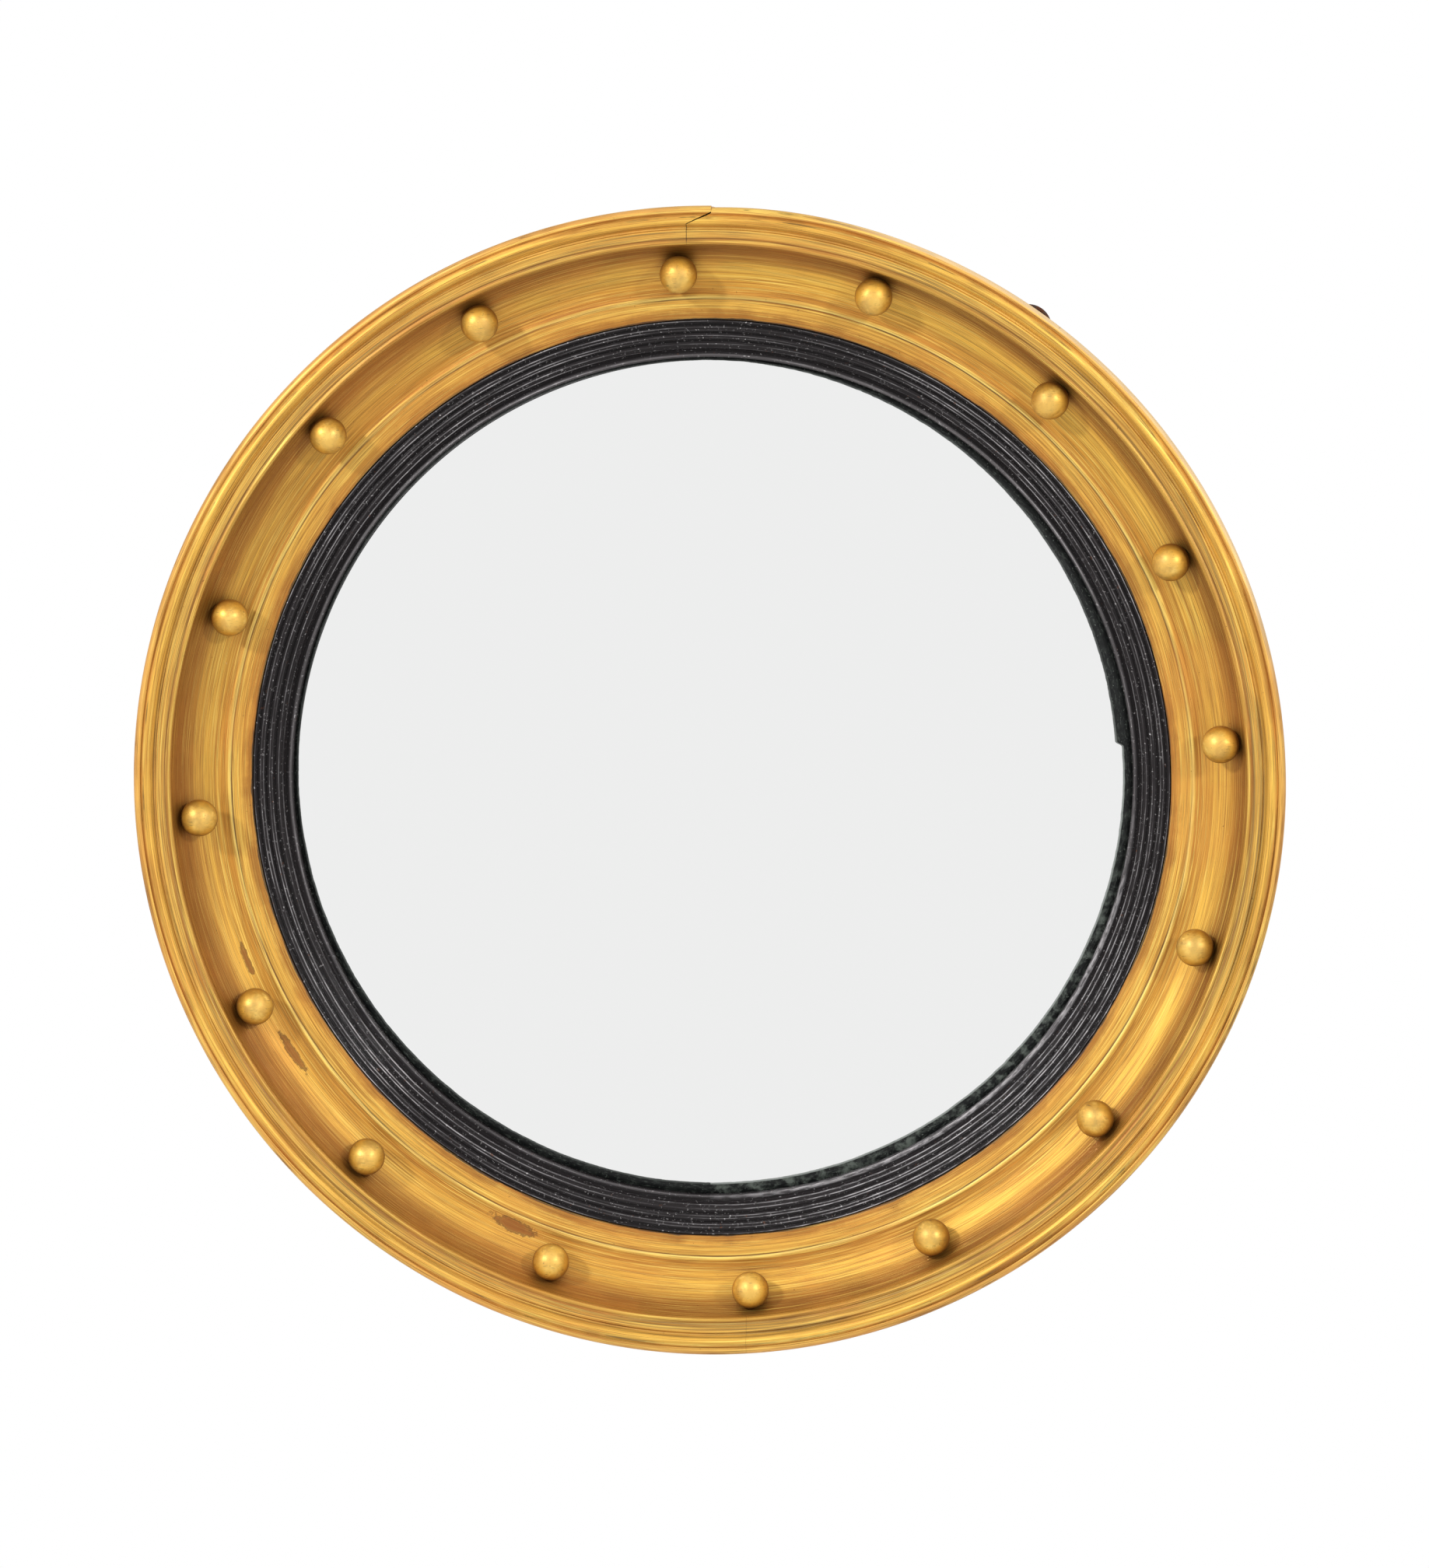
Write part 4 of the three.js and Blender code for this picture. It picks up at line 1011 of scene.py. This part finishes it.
def makeBackLayer(holes):
    inner, outer, foot, thick = backWood["layer"]
    corners = [(inner, foot), (outer, foot), (outer, foot + thick), (inner, foot + thick)]
    start = math.degrees(backWood["joint"] / 2 / backWood["jointRadius"]) - segmentTurn / 2
    for index in range(backWood["segments"]):
        bm = bmesh.new()
        face = bm.faces.new([bm.verts.new((0, -up * mm, out * mm)) for out, up in corners])
        bmesh.ops.rotate(bm, verts=bm.verts, cent=(0, 0, 0),
                         matrix=Matrix.Rotation(math.radians(start), 3, "Y"))
        bmesh.ops.spin(bm, geom=[face], cent=(0, 0, 0), axis=(0, 1, 0), angle=math.radians(-2 * start),
                       steps=backWood["segmentSteps"])
        tidyMesh(bm)
        softEdges(bm, backWood["segmentEdge"])
        turn = segmentTurn * index
        bm.transform(Matrix.Rotation(math.radians(turn), 4, "Y"))
        bm = carve(bm, holes, "DIFFERENCE")
        wood = makeBareWood("segmentWood%d" % (index + 1), turn + 90,
                            backWood["firstSeeds"]["segment"] + index)
        finishPiece("backSegment%d" % (index + 1), bm, wood, "frame",
                    ["back_segment_%d" % (index + 1)], backWood["sharpAngle"])


def makeBoards(holes):
    edge, gap = backWood["middleBoard"] / 2, backWood["gap"]
    cuts = {"left": ((-edge - gap, 1),), "middle": ((-edge, -1), (edge, 1)), "right": ((edge + gap, -1),)}
    for index, (side, planes) in enumerate(cuts.items()):
        bm = bmesh.new()
        bmesh.ops.create_circle(bm, cap_ends=True, radius=backWood["boardRadius"] * mm,
                                segments=backWood["boardAround"])
        bm.transform(Matrix.Rotation(math.radians(90), 4, "X"))
        for x, sign in planes:
            bmesh.ops.bisect_plane(bm, geom=bm.verts[:] + bm.edges[:] + bm.faces[:], plane_co=(x * mm, 0, 0),
                                   plane_no=(sign, 0, 0), clear_outer=True)
        grown = bmesh.ops.extrude_face_region(bm, geom=bm.faces[:])["geom"]
        bmesh.ops.translate(bm, verts=newVerts(grown), vec=(0, -backWood["boardThickness"] * mm, 0))
        tidyMesh(bm)
        softEdges(bm, backWood["boardEdge"])
        bm = carve(bm, holes, "DIFFERENCE")
        wood = makeBareWood("boardWood" + side.title(), 0, backWood["firstSeeds"]["board"] + index)
        finishPiece("board" + side.title(), bm, wood, "frame", ["backboard_" + side],
                    backWood["sharpAngle"])


def makeScrews():
    for index in range(backWood["segments"]):
        bm = screwMesh(screws["board"]["length"], 0.0)
        bm.transform(boardScrewPlace(index))
        finishPiece("boardScrew%d" % (index + 1), bm, brass, "frame",
                    ["board_screw_%d" % (index + 1)], screws["sharpAngle"])
    for side, sign in sides:
        for index, along in enumerate(hangers["screwsAlong"]):
            bm = screwMesh(screws["strap"]["length"], 0.0)
            bm.transform(strapScrewPlace(sign, along))
            finishPiece("strapScrew%s%d" % (side.title(), index + 1), bm, iron, "frame",
                        ["strap_screw_%s_%d" % (side, index + 1)], screws["sharpAngle"])


def makeHangingRings():
    bend, wire = hangers["ring"]
    for side, sign in sides:
        bm = bmesh.new()
        bmesh.ops.create_circle(bm, cap_ends=False, radius=wire * mm, segments=hangers["wireAround"])
        bmesh.ops.rotate(bm, verts=bm.verts, cent=(0, 0, 0), matrix=Matrix.Rotation(math.radians(90), 3, "X"))
        bmesh.ops.translate(bm, verts=bm.verts, vec=(bend * mm, 0, 0))
        bmesh.ops.spin(bm, geom=bm.verts[:] + bm.edges[:], cent=(0, 0, 0), axis=(0, 0, 1), angle=2 * math.pi,
                       steps=hangers["ringAround"], use_merge=True)
        tidyMesh(bm)
        bm.transform(station(sign * hangers["clock"], hangers["ringCentre"], hangers["knuckle"][1], 90))
        finishPiece("hangingRing" + side.title(), bm, iron, "ring_" + side,
                    ["hanging_ring_" + side])


# The glue blocks and the straps keep their own solids and only get these materials.
def dressSolids():
    for index in range(backWood["segments"]):
        turn = segmentTurn * (index + 0.5)
        wood = makeBareWood("blockWood%d" % (index + 1), turn + 90, backWood["firstSeeds"]["block"] + index)
        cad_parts["glass_block_%d" % (index + 1)].data.materials[0] = wood
    for side, _ in sides:
        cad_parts["hanger_strap_" + side].data.materials[0] = iron


makeHoop()
makeBalls()
makeFrameRing()
makeSlip()
makeGlass()
print("front made")
holes = screwHoles()
makeBackLayer(holes)
makeBoards(holes)
holes.free()
makeScrews()
makeHangingRings()
dressSolids()
print("back made")


# The floor is shaded a little round the mirror and white farther off.
studio = {
    "floor": -0.9, "floorSize": 14.0, "floorCells": 8, "floorTone": (0.86, 0.86, 0.86, 1),
    "white": (1, 1, 1, 1), "fill": 0.45, "shade": (1.0, 1.75, 0.4, 1.0),
    "lamps": [
        {"name": "leftLamp", "from": (-1.7, -1.97, 1.28), "size": 0.3, "power": 40.0},
        {"name": "rightLamp", "from": (1.77, -2.0, 1.05), "size": 0.3, "power": 26.0},
    ],
}


# Rays from the camera see one shader, rays from metal and glass plain white, and the rest what lights things.
def plainWhite(tree, shown, white, lit):
    path = put(tree, "LightPath")
    gloss = calc(tree, "MAXIMUM", path.outputs["Is Glossy Ray"], path.outputs["Is Transmission Ray"])
    mixed = put(tree, "MixShader", {}, {0: gloss, 1: lit, 2: white}).outputs[0]
    return put(tree, "MixShader", {}, {0: path.outputs["Is Camera Ray"], 1: mixed, 2: shown}).outputs[0]


def makeSurroundings():
    world = bpy.data.worlds.new("studio")
    scene.world = world
    world.use_nodes = True
    tree = world.node_tree
    tree.nodes.clear()
    white = put(tree, "Background", {}, {"Color": studio["white"], "Strength": 1.0}).outputs[0]
    fill = put(tree, "Background", {}, {"Color": studio["white"], "Strength": studio["fill"]}).outputs[0]
    put(tree, "OutputWorld", {}, {"Surface": plainWhite(tree, white, white, fill)})


def makeLamps():
    for lamp in studio["lamps"]:
        light = bpy.data.lights.new(lamp["name"], "AREA")
        light.shape, light.size, light.energy = "DISK", lamp["size"], lamp["power"]
        shown = bpy.data.objects.new(lamp["name"], light)
        shown.location = lamp["from"]
        shown.rotation_mode = "QUATERNION"
        shown.rotation_quaternion = (-Vector(lamp["from"])).to_track_quat("-Z", "Y")
        scene.collection.objects.link(shown)


def makeFloor():
    bm = bmesh.new()
    bmesh.ops.create_grid(bm, x_segments=studio["floorCells"], y_segments=studio["floorCells"],
                          size=studio["floorSize"] / 2)
    bmesh.ops.translate(bm, verts=bm.verts, vec=(0, 0, studio["floor"]))
    mesh = bpy.data.meshes.new("floor")
    bm.to_mesh(mesh)
    bm.free()
    floor = bpy.data.objects.new("floor", mesh)
    scene.collection.objects.link(floor)
    material = bpy.data.materials.new("floorWhite")
    material.use_nodes = True
    tree = material.node_tree
    tree.nodes.clear()
    lit = put(tree, "BsdfDiffuse", {}, {"Color": studio["floorTone"]}).outputs[0]
    glow = put(tree, "Emission", {}, {"Color": studio["white"], "Strength": 1.0}).outputs[0]
    place = put(tree, "TexCoord").outputs["Object"]
    away = put(tree, "VectorMath", {"operation": "LENGTH"}, {0: place}).outputs["Value"]
    soft = put(tree, "MixShader", {}, {0: between(tree, away, *studio["shade"]), 1: lit, 2: glow}).outputs[0]
    put(tree, "OutputMaterial", {}, {"Surface": plainWhite(tree, soft, glow, lit)})
    mesh.materials.append(material)


makeSurroundings()
makeLamps()
makeFloor()
scene.view_settings.view_transform = "Standard"
print("studio made")
